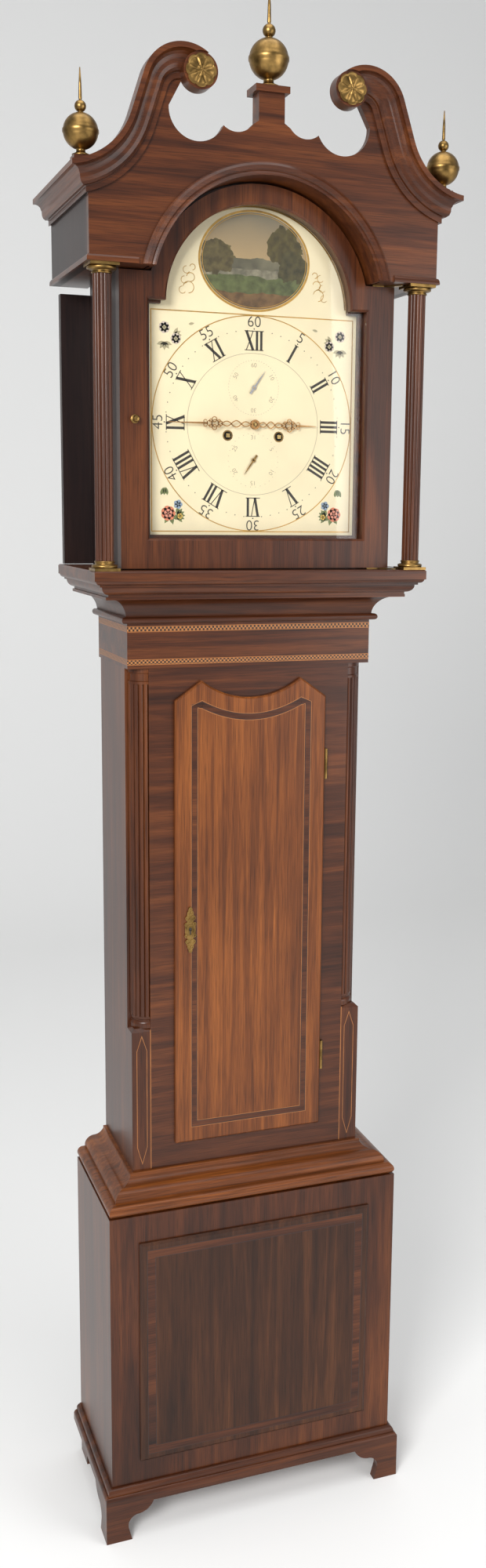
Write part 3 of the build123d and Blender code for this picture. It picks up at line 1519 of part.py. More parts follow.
with BuildPart() as back_cock:
    with BuildSketch(facing_front(cock_depth)):
        with Locations((0, pallet_z)):
            Rectangle(2 * cock_half, 26)
        with Locations((0, pallet_z)):
            Circle(1.4 * pivot_radius, mode=Mode.SUBTRACT)
    extrude(amount=cock_metal)
    with BuildSketch(facing_front(cock_depth + cock_metal)):
        with Locations((-cock_half + 4, pallet_z), (cock_half - 4, pallet_z)):
            Rectangle(8, 26)
    extrude(amount=back_plate_depth - cock_depth - cock_metal)
    with BuildSketch(facing_front(cock_depth + cock_metal)):
        with Locations((0, pallet_z + stud_drop)):
            Rectangle(12, 8)
    extrude(amount=12)

# Pendulum: suspension block, rod, lens-shaped bob and rating nut
bob_z = 845.0
bob_radius = 55.0
bob_half_thickness = 12.5
rod_radius = 2.6
rod_top = pallet_z + stud_drop - 4.2
rod_end = bob_z - bob_radius - 26

with BuildPart() as pendulum_rod:
    with BuildSketch(facing_front(pendulum_depth - 0.4)):
        with Locations((0, rod_top - 10)):
            Rectangle(6, 20)
    extrude(amount=0.8)
    with BuildSketch(Plane(origin=(0, at_depth(pendulum_depth), rod_end), z_dir=(0, 0, 1))):
        Circle(rod_radius)
    extrude(amount=rod_top - 18 - rod_end)

with BuildPart() as pendulum_bob:
    with BuildSketch(Plane(origin=(0, at_depth(pendulum_depth), bob_z), x_dir=(1, 0, 0), z_dir=(0, 0, 1))):
        with BuildLine():
            steps = [1 - i / 5 for i in range(5)]
            rear = [(bob_radius * step, bob_half_thickness * (1 - step ** 2)) for step in steps]
            front = [(x, -y) for x, y in reversed(rear[1:])]
            Polyline(rear + [(0, bob_half_thickness), (0, -bob_half_thickness)] + front, close=True)
        make_face()
    revolve(axis=Axis((0, 0, bob_z), (0, 1, 0)))
    with BuildSketch(Plane(origin=(0, at_depth(pendulum_depth), bob_z - bob_radius - 1), z_dir=(0, 0, 1))):
        Circle(rod_radius)
    extrude(amount=2 * bob_radius + 2, mode=Mode.SUBTRACT)
finish(pendulum_bob.part, "pendulum_bob")

with BuildPart() as rating_nut:
    with BuildSketch(Plane(origin=(0, at_depth(pendulum_depth), bob_z - bob_radius - 12), z_dir=(0, 0, 1))):
        RegularPolygon(9, 12)
        Circle(rod_radius + pivot_fit, mode=Mode.SUBTRACT)
    extrude(amount=8)
    add(pendulum_rod.part)
finish(rating_nut.part, "pendulum_rod")

# Weights on pulleys, and the lines that carry them
pulley_radius = 20.0
pulley_groove = 18.6
pulley_width = 9.0
weight_x = (line_inner + line_outer) / 2
pulley_z = 1330.0
weight_radius = 29.0
weight_height = 200.0
weight_top = pulley_z - 66.0
stirrup = 2.5


def hanging_weight(x):
    """A cylinder weight with its hook and the stirrup that holds the pulley."""
    with BuildPart(mode=Mode.PRIVATE) as weight:
        with BuildSketch(facing_front(line_depth, x, weight_top - weight_height)):
            with BuildLine():
                Polyline(
                    (0, 0), (weight_radius - 2, 0), (weight_radius, 2), (weight_radius, weight_height - 6),
                    (weight_radius - 6, weight_height), (0, weight_height), (0, 0),
                )
            make_face()
        revolve(axis=Axis((x, at_depth(line_depth), 0), (0, 0, 1)))
        with BuildSketch(Plane(origin=(x, at_depth(line_depth), weight_top), z_dir=(0, 0, 1))):
            Circle(3)
        extrude(amount=36)
        for start in (line_depth - pulley_width / 2 - 1 - stirrup, line_depth + pulley_width / 2 + 1):
            with BuildSketch(facing_front(start)):
                with Locations((x, (weight_top + 34 + pulley_z + 6) / 2)):
                    Rectangle(9, pulley_z + 6 - weight_top - 34)
            extrude(amount=stirrup)
        with BuildSketch(facing_front(line_depth - pulley_width / 2 - 1 - stirrup)):
            with Locations((x, weight_top + 35)):
                Rectangle(9, 4)
        extrude(amount=pulley_width + 2 + 2 * stirrup)
        add(rod(x, pulley_z, line_depth - pulley_width / 2 - 1, pulley_width + 2, 2))
    return weight.part


def grooved_pulley(x):
    """A pulley with a round groove for the line."""
    with BuildPart(mode=Mode.PRIVATE) as sheave:
        with BuildSketch(Plane(
            origin=(x, at_depth(line_depth), pulley_z), x_dir=(1, 0, 0), z_dir=(0, 0, 1)
        )):
            with BuildLine():
                w = pulley_width / 2
                bore = 2 + pivot_fit
                Polyline((bore, -w), (pulley_radius + 1, -w))
                ThreePointArc((pulley_radius + 1, -w), (pulley_groove, 0), (pulley_radius + 1, w))
                Polyline((pulley_radius + 1, w), (bore, w), (bore, -w))
            make_face()
        revolve(axis=Axis((x, 0, pulley_z), (0, 1, 0)))
    return sheave.part


with BuildPart() as going_weight:
    add(hanging_weight(weight_x))
    add(grooved_pulley(weight_x))
with BuildPart() as strike_weight:
    add(hanging_weight(-weight_x))
    add(grooved_pulley(-weight_x))
finish(going_weight.part, "going_weight")
finish(strike_weight.part, "strike_weight")


def line_strands(side, low, high, offsets):
    """Upright strands of line between two heights."""
    with BuildPart(mode=Mode.PRIVATE) as strands:
        with BuildSketch(Plane(origin=(0, at_depth(line_depth), low), z_dir=(0, 0, 1))):
            with Locations(*[(side * x, 0) for x in offsets]):
                RegularPolygon(line_radius, 6)
        extrude(amount=high - low)
    return strands.part


with BuildPart() as going_line:
    add(line_strands(1, pulley_z, cheek_top, (line_inner, line_outer)))
with BuildPart() as strike_line:
    add(line_strands(-1, pulley_z, cheek_top, (line_inner, line_outer)))
with BuildPart() as upper_lines:
    for side in (-1, 1):
        add(line_strands(side, cheek_top, winding_z, (line_inner + line_radius + 0.2,)))
        add(line_strands(side, cheek_top, seat_top, (line_outer,)))
    with BuildSketch(Plane(origin=(0, at_depth(line_depth), seat_top), z_dir=(0, 0, 1))):
        with Locations((-line_outer, 0), (line_outer, 0)):
            Circle(line_hole + 3)
    extrude(amount=4)
finish(going_line.part, "going_line")
finish(strike_line.part, "strike_line")
finish(upper_lines.part, "upper_lines")

# Bell on its stand, and the hammer that swings away from it
bell_radius = 32.0
bell_metal = 2.5
bell_mouth = dial_z + 118.0
bell_height = 30.0
stand_width = 10.0

with BuildPart() as bell:
    with BuildSketch(facing_front(line_depth, 0, bell_mouth)):
        with BuildLine():
            r = bell_radius
            t = bell_metal
            h = bell_height
            Polyline(
                (4, h), (4, h - t), (0.55 * r, 0.88 * h - t), (0.86 * r - t, 0.5 * h), (r - t, 0),
                (r, 0), (0.86 * r, 0.5 * h), (0.55 * r, 0.88 * h), close=True,
            )
        make_face()
    revolve(axis=Axis((0, at_depth(line_depth), 0), (0, 0, 1)))
finish(bell.part, "bell")

with BuildPart() as bell_stand:
    add(back_cock.part)
    with BuildSketch(facing_side(-stand_width / 2)):
        with BuildLine():
            back = -(back_plate_depth - 3)
            Polyline(
                (back, plate_top - 14), (back, bell_mouth + bell_height + 12), (-line_depth - 6, bell_mouth + bell_height + 12),
                (-line_depth - 6, bell_mouth + bell_height + 9), (back - 3, bell_mouth + bell_height + 9),
                (back - 3, plate_top - 14), close=True,
            )
        make_face()
    extrude(amount=stand_width)
    with BuildSketch(Plane(origin=(0, at_depth(line_depth), bell_mouth + bell_height - 5), z_dir=(0, 0, 1))):
        Circle(4)
    extrude(amount=16)
    with BuildSketch(Plane(origin=(0, at_depth(line_depth), bell_mouth + bell_height), z_dir=(0, 0, 1))):
        Circle(7)
    extrude(amount=3)

finish(bell_stand.part, "back_cock")

hammer_gap = 3.0
hammer_head = 8.0
hammer_depth = 126.0

with BuildPart() as hammer:
    hammer_z = dial_z + hammer_rise
    add(train_arbor(hammer_x, hammer_z))
    head_x = bell_radius + hammer_gap + hammer_head
    head_z = bell_mouth + 6
    with BuildSketch(facing_front(hammer_depth - 1.5)):
        with BuildLine():
            Polyline(
                (hammer_x - 3, hammer_z), (hammer_x + 3, hammer_z), (head_x + 2, head_z), (head_x - 2, head_z),
                close=True,
            )
        make_face()
        with Locations((hammer_x, hammer_z)):
            Circle(5)
    extrude(amount=3)
    with BuildSketch(facing_side(head_x - hammer_head, hammer_depth, head_z)):
        Circle(hammer_head / 2 + 1)
    extrude(amount=2 * hammer_head)
finish(hammer.part, "hammer")
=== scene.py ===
import json
from math import cos, hypot, pi, radians, sin

import bpy
from mathutils import Matrix, Vector


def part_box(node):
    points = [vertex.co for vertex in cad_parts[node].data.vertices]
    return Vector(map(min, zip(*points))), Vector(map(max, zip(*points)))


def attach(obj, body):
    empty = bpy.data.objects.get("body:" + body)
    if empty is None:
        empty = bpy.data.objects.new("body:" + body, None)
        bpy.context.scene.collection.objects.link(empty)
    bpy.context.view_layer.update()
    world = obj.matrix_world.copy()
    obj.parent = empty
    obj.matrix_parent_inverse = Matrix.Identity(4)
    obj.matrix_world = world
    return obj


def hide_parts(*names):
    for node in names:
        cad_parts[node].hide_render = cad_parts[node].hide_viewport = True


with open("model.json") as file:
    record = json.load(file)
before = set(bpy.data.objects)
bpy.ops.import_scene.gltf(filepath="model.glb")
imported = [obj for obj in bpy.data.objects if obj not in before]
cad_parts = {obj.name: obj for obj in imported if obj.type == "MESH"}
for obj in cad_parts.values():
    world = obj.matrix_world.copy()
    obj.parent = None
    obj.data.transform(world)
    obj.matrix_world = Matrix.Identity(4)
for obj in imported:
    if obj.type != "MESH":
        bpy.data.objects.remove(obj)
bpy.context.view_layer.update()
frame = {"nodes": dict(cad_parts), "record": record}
nodes = frame["nodes"]
BACK = 0.140
SKIN = 0.15


def at(x, z, depth):
    """A point from millimetres: right of the middle, above the floor, in front of the back."""
    return Vector((x / 1000, BACK - depth / 1000, z / 1000))


def front_of(node):
    """How far a CAD node's front lies from the back of the case, in millimetres."""
    return (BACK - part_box(node)[0][1]) * 1000


# Materials

def new_material(name):
    """A node material with its Principled shader."""
    material = bpy.data.materials.new(name)
    material.use_nodes = True
    return material, material.node_tree, material.node_tree.nodes["Principled BSDF"]


def paint(name, colour, roughness=0.5, metallic=0.0, coat=0.0, speckle=0.0, speckle_scale=60.0):
    """A plain finish with a slight uneven tone."""
    material, tree, shader = new_material(name)
    shader.inputs["Roughness"].default_value = roughness
    shader.inputs["Metallic"].default_value = metallic
    shader.inputs["Coat Weight"].default_value = coat
    shader.inputs["Base Color"].default_value = (*colour, 1)
    if speckle:
        place = tree.nodes.new("ShaderNodeTexCoord")
        noise = tree.nodes.new("ShaderNodeTexNoise")
        noise.inputs["Scale"].default_value = speckle_scale
        noise.inputs["Detail"].default_value = 6
        ramp = tree.nodes.new("ShaderNodeValToRGB")
        ramp.color_ramp.elements[0].position = 0.32
        ramp.color_ramp.elements[0].color = (*[c * (1 - speckle) for c in colour], 1)
        ramp.color_ramp.elements[1].position = 0.62
        ramp.color_ramp.elements[1].color = (*colour, 1)
        tree.links.new(place.outputs["Object"], noise.inputs["Vector"])
        tree.links.new(noise.outputs["Fac"], ramp.inputs["Fac"])
        tree.links.new(ramp.outputs["Color"], shader.inputs["Base Color"])
    return material


def wood(name, dark, middle, light, grain="Z", figure=0.5, roughness=0.33, coat=0.12, streak=1.0):
    """Polished timber whose grain runs along one axis, in the object's own coordinates."""
    material, tree, shader = new_material(name)
    link = tree.links.new
    place = tree.nodes.new("ShaderNodeTexCoord")

    def grain_noise(across, along, detail, distortion):
        mapping = tree.nodes.new("ShaderNodeMapping")
        mapping.inputs["Scale"].default_value = [along if axis == grain else across for axis in "XYZ"]
        noise = tree.nodes.new("ShaderNodeTexNoise")
        noise.inputs["Scale"].default_value = 1.0
        noise.inputs["Detail"].default_value = detail
        noise.inputs["Distortion"].default_value = distortion
        link(place.outputs["Object"], mapping.inputs["Vector"])
        link(mapping.outputs["Vector"], noise.inputs["Vector"])
        return noise.outputs["Fac"]

    bands = grain_noise(45 * streak, 2.2, 5, 1.2)
    clouds = grain_noise(7, 2.5, 3, 0.4)
    pores = grain_noise(900, 22, 4, 0.0)
    ramp = tree.nodes.new("ShaderNodeValToRGB")
    ramp.color_ramp.elements[0].position = 0.28
    ramp.color_ramp.elements[0].color = (*dark, 1)
    ramp.color_ramp.elements[1].position = 0.74
    ramp.color_ramp.elements[1].color = (*light, 1)
    centre = ramp.color_ramp.elements.new(0.5)
    centre.color = (*middle, 1)
    blend = tree.nodes.new("ShaderNodeMix")
    blend.inputs["Factor"].default_value = figure
    link(bands, blend.inputs["A"])
    link(clouds, blend.inputs["B"])
    link(blend.outputs["Result"], ramp.inputs["Fac"])
    shade = tree.nodes.new("ShaderNodeMapRange")
    shade.inputs["From Min"].default_value = 0.3
    shade.inputs["From Max"].default_value = 0.55
    shade.inputs["To Min"].default_value = 0.5
    shade.inputs["To Max"].default_value = 1.0
    link(pores, shade.inputs["Value"])
    tint = tree.nodes.new("ShaderNodeVectorMath")
    tint.operation = "SCALE"
    link(ramp.outputs["Color"], tint.inputs[0])
    link(shade.outputs["Result"], tint.inputs["Scale"])
    link(tint.outputs["Vector"], shader.inputs["Base Color"])
    shader.inputs["Specular IOR Level"].default_value = 0.3
    bump = tree.nodes.new("ShaderNodeBump")
    bump.inputs["Strength"].default_value = 0.12
    bump.inputs["Distance"].default_value = 0.0004
    link(pores, bump.inputs["Height"])
    link(bump.outputs["Normal"], shader.inputs["Normal"])
    shader.inputs["Roughness"].default_value = roughness
    shader.inputs["Coat Weight"].default_value = coat
    shader.inputs["Coat Roughness"].default_value = 0.18
    return material


RED_DARK = (0.012, 0.0032, 0.0014)
RED = (0.068, 0.0175, 0.0048)
RED_LIGHT = (0.165, 0.047, 0.0110)
OAK_DARK = (0.028, 0.007, 0.002)
OAK = (0.150, 0.041, 0.0080)
OAK_LIGHT = (0.330, 0.100, 0.0185)
mahogany = wood("mahogany_upright", RED_DARK, RED, RED_LIGHT)
mahogany_cross = wood("mahogany_crossband", RED_DARK, RED, RED_LIGHT, grain="X", figure=0.35)
mahogany_side = wood("mahogany_front_to_back", RED_DARK, RED, RED_LIGHT, grain="Y", figure=0.35)
oak = wood(
    "oak_upright", OAK_DARK, OAK, OAK_LIGHT,
    grain="Z", figure=0.38, roughness=0.36, coat=0.1, streak=1.9,
)
oak_cross = wood(
    "oak_level", OAK_DARK, OAK, OAK_LIGHT,
    grain="X", figure=0.4, roughness=0.36, coat=0.1, streak=1.9,
)
brown_oak = wood(
    "brown_oak", (0.010, 0.0030, 0.0012), (0.048, 0.0150, 0.0048), (0.120, 0.040, 0.0120),
    grain="Z", figure=0.45, roughness=0.42, coat=0.05, streak=1.2,
)
dark_gloss = wood(
    "dark_polish", (0.008, 0.003, 0.003), (0.020, 0.008, 0.006), (0.045, 0.018, 0.012),
    grain="Z", figure=0.5, roughness=0.4, coat=0.05,
)
pine = wood(
    "aged_pine", (0.10, 0.055, 0.025), (0.20, 0.12, 0.055), (0.30, 0.19, 0.095),
    grain="Z", figure=0.5, roughness=0.6, coat=0.0,
)
brass = paint(
    "aged_brass", (0.33, 0.20, 0.065),
    roughness=0.36, metallic=1.0, coat=0.0, speckle=0.6, speckle_scale=70,
)
hand_gilt = paint(
    "gilt_hands", (0.52, 0.27, 0.09),
    roughness=0.35, metallic=0.85, coat=0.0, speckle=0.3, speckle_scale=200,
)
faint = paint("faint_dial_lines", (0.36, 0.30, 0.20), roughness=0.4)
clock_brass = paint(
    "movement_brass", (0.60, 0.42, 0.16),
    roughness=0.3, metallic=1.0, coat=0.0, speckle=0.2,
)
steel = paint(
    "bright_steel", (0.42, 0.42, 0.44),
    roughness=0.3, metallic=1.0, coat=0.0, speckle=0.2,
)
blued = paint("dark_blued_steel", (0.012, 0.012, 0.016), roughness=0.3, metallic=0.6)
cream = paint(
    "dial_cream", (0.94, 0.82, 0.54),
    roughness=0.34, metallic=0.0, coat=0.2, speckle=0.08, speckle_scale=14,
)
gold = paint(
    "gilding", (0.62, 0.36, 0.085),
    roughness=0.35, metallic=0.75, coat=0.0, speckle=0.25, speckle_scale=120,
)
black = paint("numeral_black", (0.030, 0.024, 0.016), roughness=0.4)
lead = paint(
    "weight_casting", (0.14, 0.14, 0.15),
    roughness=0.55, metallic=0.4, coat=0.0, speckle=0.3,
)
gut = paint("gut_line", (0.42, 0.30, 0.15), roughness=0.6)
inlay = paint(
    "boxwood_inlay", (0.36, 0.13, 0.030),
    roughness=0.4, metallic=0.0, coat=0.1, speckle=0.3,
)
# Ebony for the inlay lines; the same dark colour also paints the shade inside the keyhole.
ebony_and_keyhole_shade = paint("ebony_inlay_and_keyhole_shade", (0.018, 0.009, 0.007), roughness=0.35, metallic=0.0, coat=0.2)
bell_metal = paint(
    "bell_metal", (0.55, 0.45, 0.25),
    roughness=0.35, metallic=1.0, coat=0.0, speckle=0.2,
)


def clear_glass():
    """Thin clear glass that lets light straight through."""
    material, tree, _ = new_material("door_glass")
    clear = tree.nodes.new("ShaderNodeBsdfTransparent")
    gloss = tree.nodes.new("ShaderNodeBsdfGlossy")
    gloss.inputs["Roughness"].default_value = 0.02
    mixer = tree.nodes.new("ShaderNodeMixShader")
    fresnel = tree.nodes.new("ShaderNodeFresnel")
    fresnel.inputs["IOR"].default_value = 1.35
    tree.links.new(fresnel.outputs["Fac"], mixer.inputs["Fac"])
    tree.links.new(clear.outputs["BSDF"], mixer.inputs[1])
    tree.links.new(gloss.outputs["BSDF"], mixer.inputs[2])
    output = [node for node in tree.nodes if node.type == "OUTPUT_MATERIAL"][0]
    tree.links.new(mixer.outputs["Shader"], output.inputs["Surface"])
    return material


def checkers(name, first, second, cell):
    """Small squares in two timbers."""
    material, tree, shader = new_material(name)
    place = tree.nodes.new("ShaderNodeTexCoord")
    mapping = tree.nodes.new("ShaderNodeMapping")
    mapping.inputs["Location"].default_value = (0.0, cell / 2000, 0.0)
    squares = tree.nodes.new("ShaderNodeTexChecker")
    squares.inputs["Scale"].default_value = 1000 / cell
    squares.inputs["Color1"].default_value = (*first, 1)
    squares.inputs["Color2"].default_value = (*second, 1)
    tree.links.new(place.outputs["Object"], mapping.inputs["Vector"])
    tree.links.new(mapping.outputs["Vector"], squares.inputs["Vector"])
    tree.links.new(squares.outputs["Color"], shader.inputs["Base Color"])
    shader.inputs["Roughness"].default_value = 0.4
    return material


glass = clear_glass()
band_checkers = checkers("banding", (0.36, 0.14, 0.036), (0.02, 0.008, 0.004), 3.0)

slot_materials = {
    "mahogany": mahogany, "oak": oak, "dark_wood": dark_gloss, "pine": pine,
    "brass": clock_brass, "steel": steel, "blued_steel": blued, "dial_paint": cream,
    "glass": glass, "lead": lead, "gut": gut, "bell_metal": bell_metal,
}
node_materials = {
    "base_panel": brown_oak, "base_top_moulding": oak_cross,
    "backboard": dark_gloss, "hood_roof": pine, "side_cornices": mahogany_side,
}
for name in (
    "trunk_front", "throat_moulding", "trunk_frieze", "hood_base_frame", "plinth_moulding",
    "bracket_feet", "frieze_mouldings", "swan_necks", "hood_front_board", "dial_mask",
    "finial_blocks",
):
    node_materials[name] = mahogany_cross
for name in (
    "escutcheon", "door_hinge_leaves", "case_hinge_leaves", "hood_door_brasses", "hood_brasses",
):
    node_materials[name] = brass
for part in frame["record"]["subparts"]:
    cad = nodes[part["node"]]
    cad.data.materials.clear()
    usual = slot_materials[part["material_slot"]]
    cad.data.materials.append(node_materials.get(part["node"], usual))

soft_edged = [
    "base_boards", "base_panel", "base_top_moulding", "plinth_moulding", "bracket_feet",
    "corner_blocks", "trunk_front", "trunk_frieze", "throat_moulding", "trunk_door",
    "hood_base_frame", "hood_sides", "dial_mask", "hood_front_board", "frieze_mouldings",
    "swan_necks", "side_cornices", "finial_blocks", "hood_door",
]
for name in soft_edged:
    bevel = nodes[name].modifiers.new("soft_edges", "BEVEL")
    bevel.width = 0.0007
    bevel.segments = 2
    bevel.limit_method = "ANGLE"
    bevel.angle_limit = radians(38)


# Building helpers

def mesh_piece(name, points, faces, material, body, smooth=False):
    """A mesh from points in metres, riding on one body."""
    mesh = bpy.data.meshes.new(name)
    mesh.from_pydata(points, [], faces)
    mesh.materials.append(material)
    for face in mesh.polygons:
        face.use_smooth = smooth
    piece = bpy.data.objects.new(name, mesh)
    bpy.context.scene.collection.objects.link(piece)
    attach(piece, body)
    return piece


def flat(name, shapes, depth, material, body):
    """Flat shapes facing the front; each is a list of (x, z) in millimetres."""
    points, faces = [], []
    for shape in shapes:
        faces.append(list(range(len(points), len(points) + len(shape))))
        points += [at(x, z, depth) for x, z in shape]
    return mesh_piece(name, points, faces, material, body)


def ribbon(route, width, closed=False):
    """Quads along a route of (x, z) points, mitred at its corners."""
    count = len(route)
    sides = []
    for i, (x, z) in enumerate(route):
        before = route[i - 1] if closed or i else route[i]
        after = route[(i + 1) % count] if closed or i < count - 1 else route[i]
        a = (x - before[0], z - before[1])
        b = (after[0] - x, after[1] - z)
        la, lb = hypot(*a), hypot(*b)
        a = (a[0] / la, a[1] / la) if la else (b[0] / lb, b[1] / lb)
        b = (b[0] / lb, b[1] / lb) if lb else a
        nx, nz = -(a[1] + b[1]), a[0] + b[0]
        size = hypot(nx, nz) or 1
        nx, nz = nx / size, nz / size
        reach = width / 2 / max(0.3, -nx * b[1] + nz * b[0])
        sides.append(((x + nx * reach, z + nz * reach), (x - nx * reach, z - nz * reach)))
    steps = range(count if closed else count - 1)
    return [
        [sides[i][0], sides[(i + 1) % count][0], sides[(i + 1) % count][1], sides[i][1]]
        for i in steps
    ]


def arc(x, z, radius, start, end, steps=48, squash=1.0):
    """Points on a circle or ellipse between two angles in degrees."""
    turn = radians(end - start) / steps
    return [
        (
            x + radius * cos(radians(start) + i * turn),
            z + radius * squash * sin(radians(start) + i * turn),
        )
        for i in range(steps + 1)
    ]


def rectangle(x0, z0, x1, z1):
    """The corners of an upright rectangle."""
    return [(x0, z0), (x1, z0), (x1, z1), (x0, z1)]


def turned(name, profile, base, material, body, axis="Z", segments=64):
    """A lathe-turned piece: (radius, height) in millimetres about an axis through base."""
    points, faces = [], []
    rows = len(profile)
    for i in range(segments):
        a = 2 * pi * i / segments
        for radius, height in profile:
            across = (radius * cos(a) / 1000, radius * sin(a) / 1000)
            if axis == "Z":
                points.append(base + Vector((across[0], across[1], height / 1000)))
            else:
                points.append(base + Vector((across[0], -height / 1000, across[1])))
    for i in range(segments):
        following = (i + 1) % segments
        for j in range(rows - 1):
            quad = [i * rows + j, following * rows + j, following * rows + j + 1, i * rows + j + 1]
            faces.append(quad if axis == "Z" else quad[::-1])
    return mesh_piece(name, points, faces, material, body, True)


# Dial painting

DIAL = 1757.0
FACE = front_of("dial_plate") + SKIN
GOLD_HALF = 156.0
RING = 155.0
HOUR_FEET = 106
HOUR_HEIGHT = 28
HOUR_RING = 102
MINUTE_MIDDLE = 146
MINUTE_SIZE = 22
SMALL_RING = 39
SMALL_SIZE = 9
SECONDS_Z = DIAL + 53
DATE_Z = DIAL - 51.5
WINDING_X = 40
WINDING_Z = DIAL - 16.5
ROUNDEL = 1988


def polar(radius, angle, x=0.0, z=DIAL):
    """The dial point at a clock angle in degrees, clockwise from twelve."""
    return (x + radius * sin(radians(angle)), z + radius * cos(radians(angle)))


def stroke(start, end, width):
    """A straight pen stroke."""
    return ribbon([start, end], width)[0]


def roman(text, height):
    """Upright Roman numeral strokes about the origin's middle, feet at zero."""
    widths = {"I": 0.24, "V": 0.56, "X": 0.56}
    total = sum(widths[letter] for letter in text) * height
    x = -total / 2
    shapes = []
    for letter in text:
        w = widths[letter] * height
        if letter == "I":
            shapes.append(stroke((x + w / 2, 0), (x + w / 2, height), 0.13 * height))
        elif letter == "V":
            shapes.append(stroke((x + 0.2 * w, height), (x + 0.52 * w, 0), 0.14 * height))
            shapes.append(stroke((x + 0.86 * w, height), (x + 0.52 * w, 0), 0.045 * height))
        else:
            shapes.append(stroke((x + 0.16 * w, height), (x + 0.84 * w, 0), 0.14 * height))
            shapes.append(stroke((x + 0.84 * w, height), (x + 0.16 * w, 0), 0.045 * height))
        x += w
    for level in (0.02 * height, 0.98 * height):
        shapes.append(stroke((-total / 2, level), (total / 2, level), 0.04 * height))
    return shapes


def turned_shapes(shapes, radius, angle):
    """Shapes moved out to a radius on the dial and turned to a clock angle."""
    a = radians(angle)
    result = []
    for shape in shapes:
        result.append([
            (x * cos(a) + (z + radius) * sin(a), DIAL - x * sin(a) + (z + radius) * cos(a))
            for x, z in shape
        ])
    return result


def written(name, text, size, x, z, angle, material, body="case"):
    """A small plain numeral on the dial."""
    curve = bpy.data.curves.new(name, "FONT")
    curve.body = text
    curve.size = size / 1000
    curve.align_x = "CENTER"
    curve.align_y = "CENTER"
    curve.offset = -size / 90000
    curve.materials.append(material)
    piece = bpy.data.objects.new(name, curve)
    piece.matrix_world = (
        Matrix.Translation(at(x, z, FACE + 0.1)) @ Matrix.Rotation(radians(angle), 4, "Y")
        @ Matrix.Rotation(pi / 2, 4, "X")
    )
    bpy.context.scene.collection.objects.link(piece)
    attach(piece, body)


def dial_rings():
    """Circles, minute marks and numerals of the main dial and its two small ones."""
    numerals = ["XII", "I", "II", "III", "IIII", "V", "VI", "VII", "VIII", "IX", "X", "XI"]
    shapes = []
    for hour, text in enumerate(numerals):
        shapes += turned_shapes(roman(text, HOUR_HEIGHT), HOUR_FEET, 30 * hour)
    flat("hour_numerals", shapes, FACE + 0.06, black, "case")
    rings = ribbon(arc(0, DIAL, HOUR_RING, 0, 360, 144)[:-1], 0.55, True)
    dots = []
    for minute in range(60):
        x, z = polar(134.5 if minute % 5 else 136.5, 6 * minute)
        dots.append(arc(x, z, 0.75 if minute % 5 else 1.0, 0, 360, 10)[:-1])
    flat("minute_dots", dots, FACE + 0.05, black, "case")
    for z, marks in ((SECONDS_Z, 60), (DATE_Z, 31)):
        for i in range(marks):
            x, level = polar(SMALL_RING, 360 * i / marks, 0, z)
            rings.append(arc(x, level, 0.5, 0, 360, 8)[:-1])
    flat("dial_rings", rings, FACE + 0.05, faint, "case")
    for five in range(12):
        x, z = polar(MINUTE_MIDDLE, 30 * five)
        text = str(5 * five or 60)
        written(f"minute_numeral_{five}", text, MINUTE_SIZE, x, z, 30 * five, black)
    for ten in range(6):
        turn = 60 * ten
        x, z = polar(32, turn, 0, SECONDS_Z)
        written(f"seconds_numeral_{ten}", str(10 * ten or 60), SMALL_SIZE, x, z, turn, faint)
        x, z = polar(33, turn, 0, DATE_Z)
        written(f"date_numeral_{ten}", str(5 * ten or 31), SMALL_SIZE, x, z, turn, faint)
    for side in (-1, 1):
        label = "left" if side < 0 else "right"
        grommet = ribbon(arc(side * WINDING_X, WINDING_Z, 6.9, 0, 360, 32)[:-1], 1.8, True)
        flat(f"winding_ring_{label}", grommet, FACE + 0.05, brass, "case")


def gilding_lines():
    """The gilt square, the band over it and the frame of the arch's roundel."""
    outline = rectangle(-GOLD_HALF, DIAL - GOLD_HALF, GOLD_HALF, DIAL + GOLD_HALF)
    square = ribbon(outline, 1.6, True)
    square += ribbon(arc(0, DIAL, RING, 0, 360, 144)[:-1], 1.4, True)
    square += ribbon(arc(0, 1920, 143, 3, 177, 64), 2.4)
    square += ribbon(arc(0, ROUNDEL, 84, 0, 360, 96, 69 / 84)[:-1], 3.2, True)
    square += ribbon(arc(0, ROUNDEL, 79.5, 0, 360, 96, 65 / 79.5)[:-1], 0.8, True)
    for side in (-1, 1):
        for scroll in range(3):
            x = side * (100 - 3 * scroll)
            z = 1946 + 14 * scroll
            square += ribbon(arc(x, z, 8 - 2 * scroll, -90, 170, 16), 1.0)
            square += ribbon(arc(x + side * 9, z - 4, 5, 90, 330, 12), 0.8)
    flat("dial_gilding", square, FACE + 0.08, gold, "case")


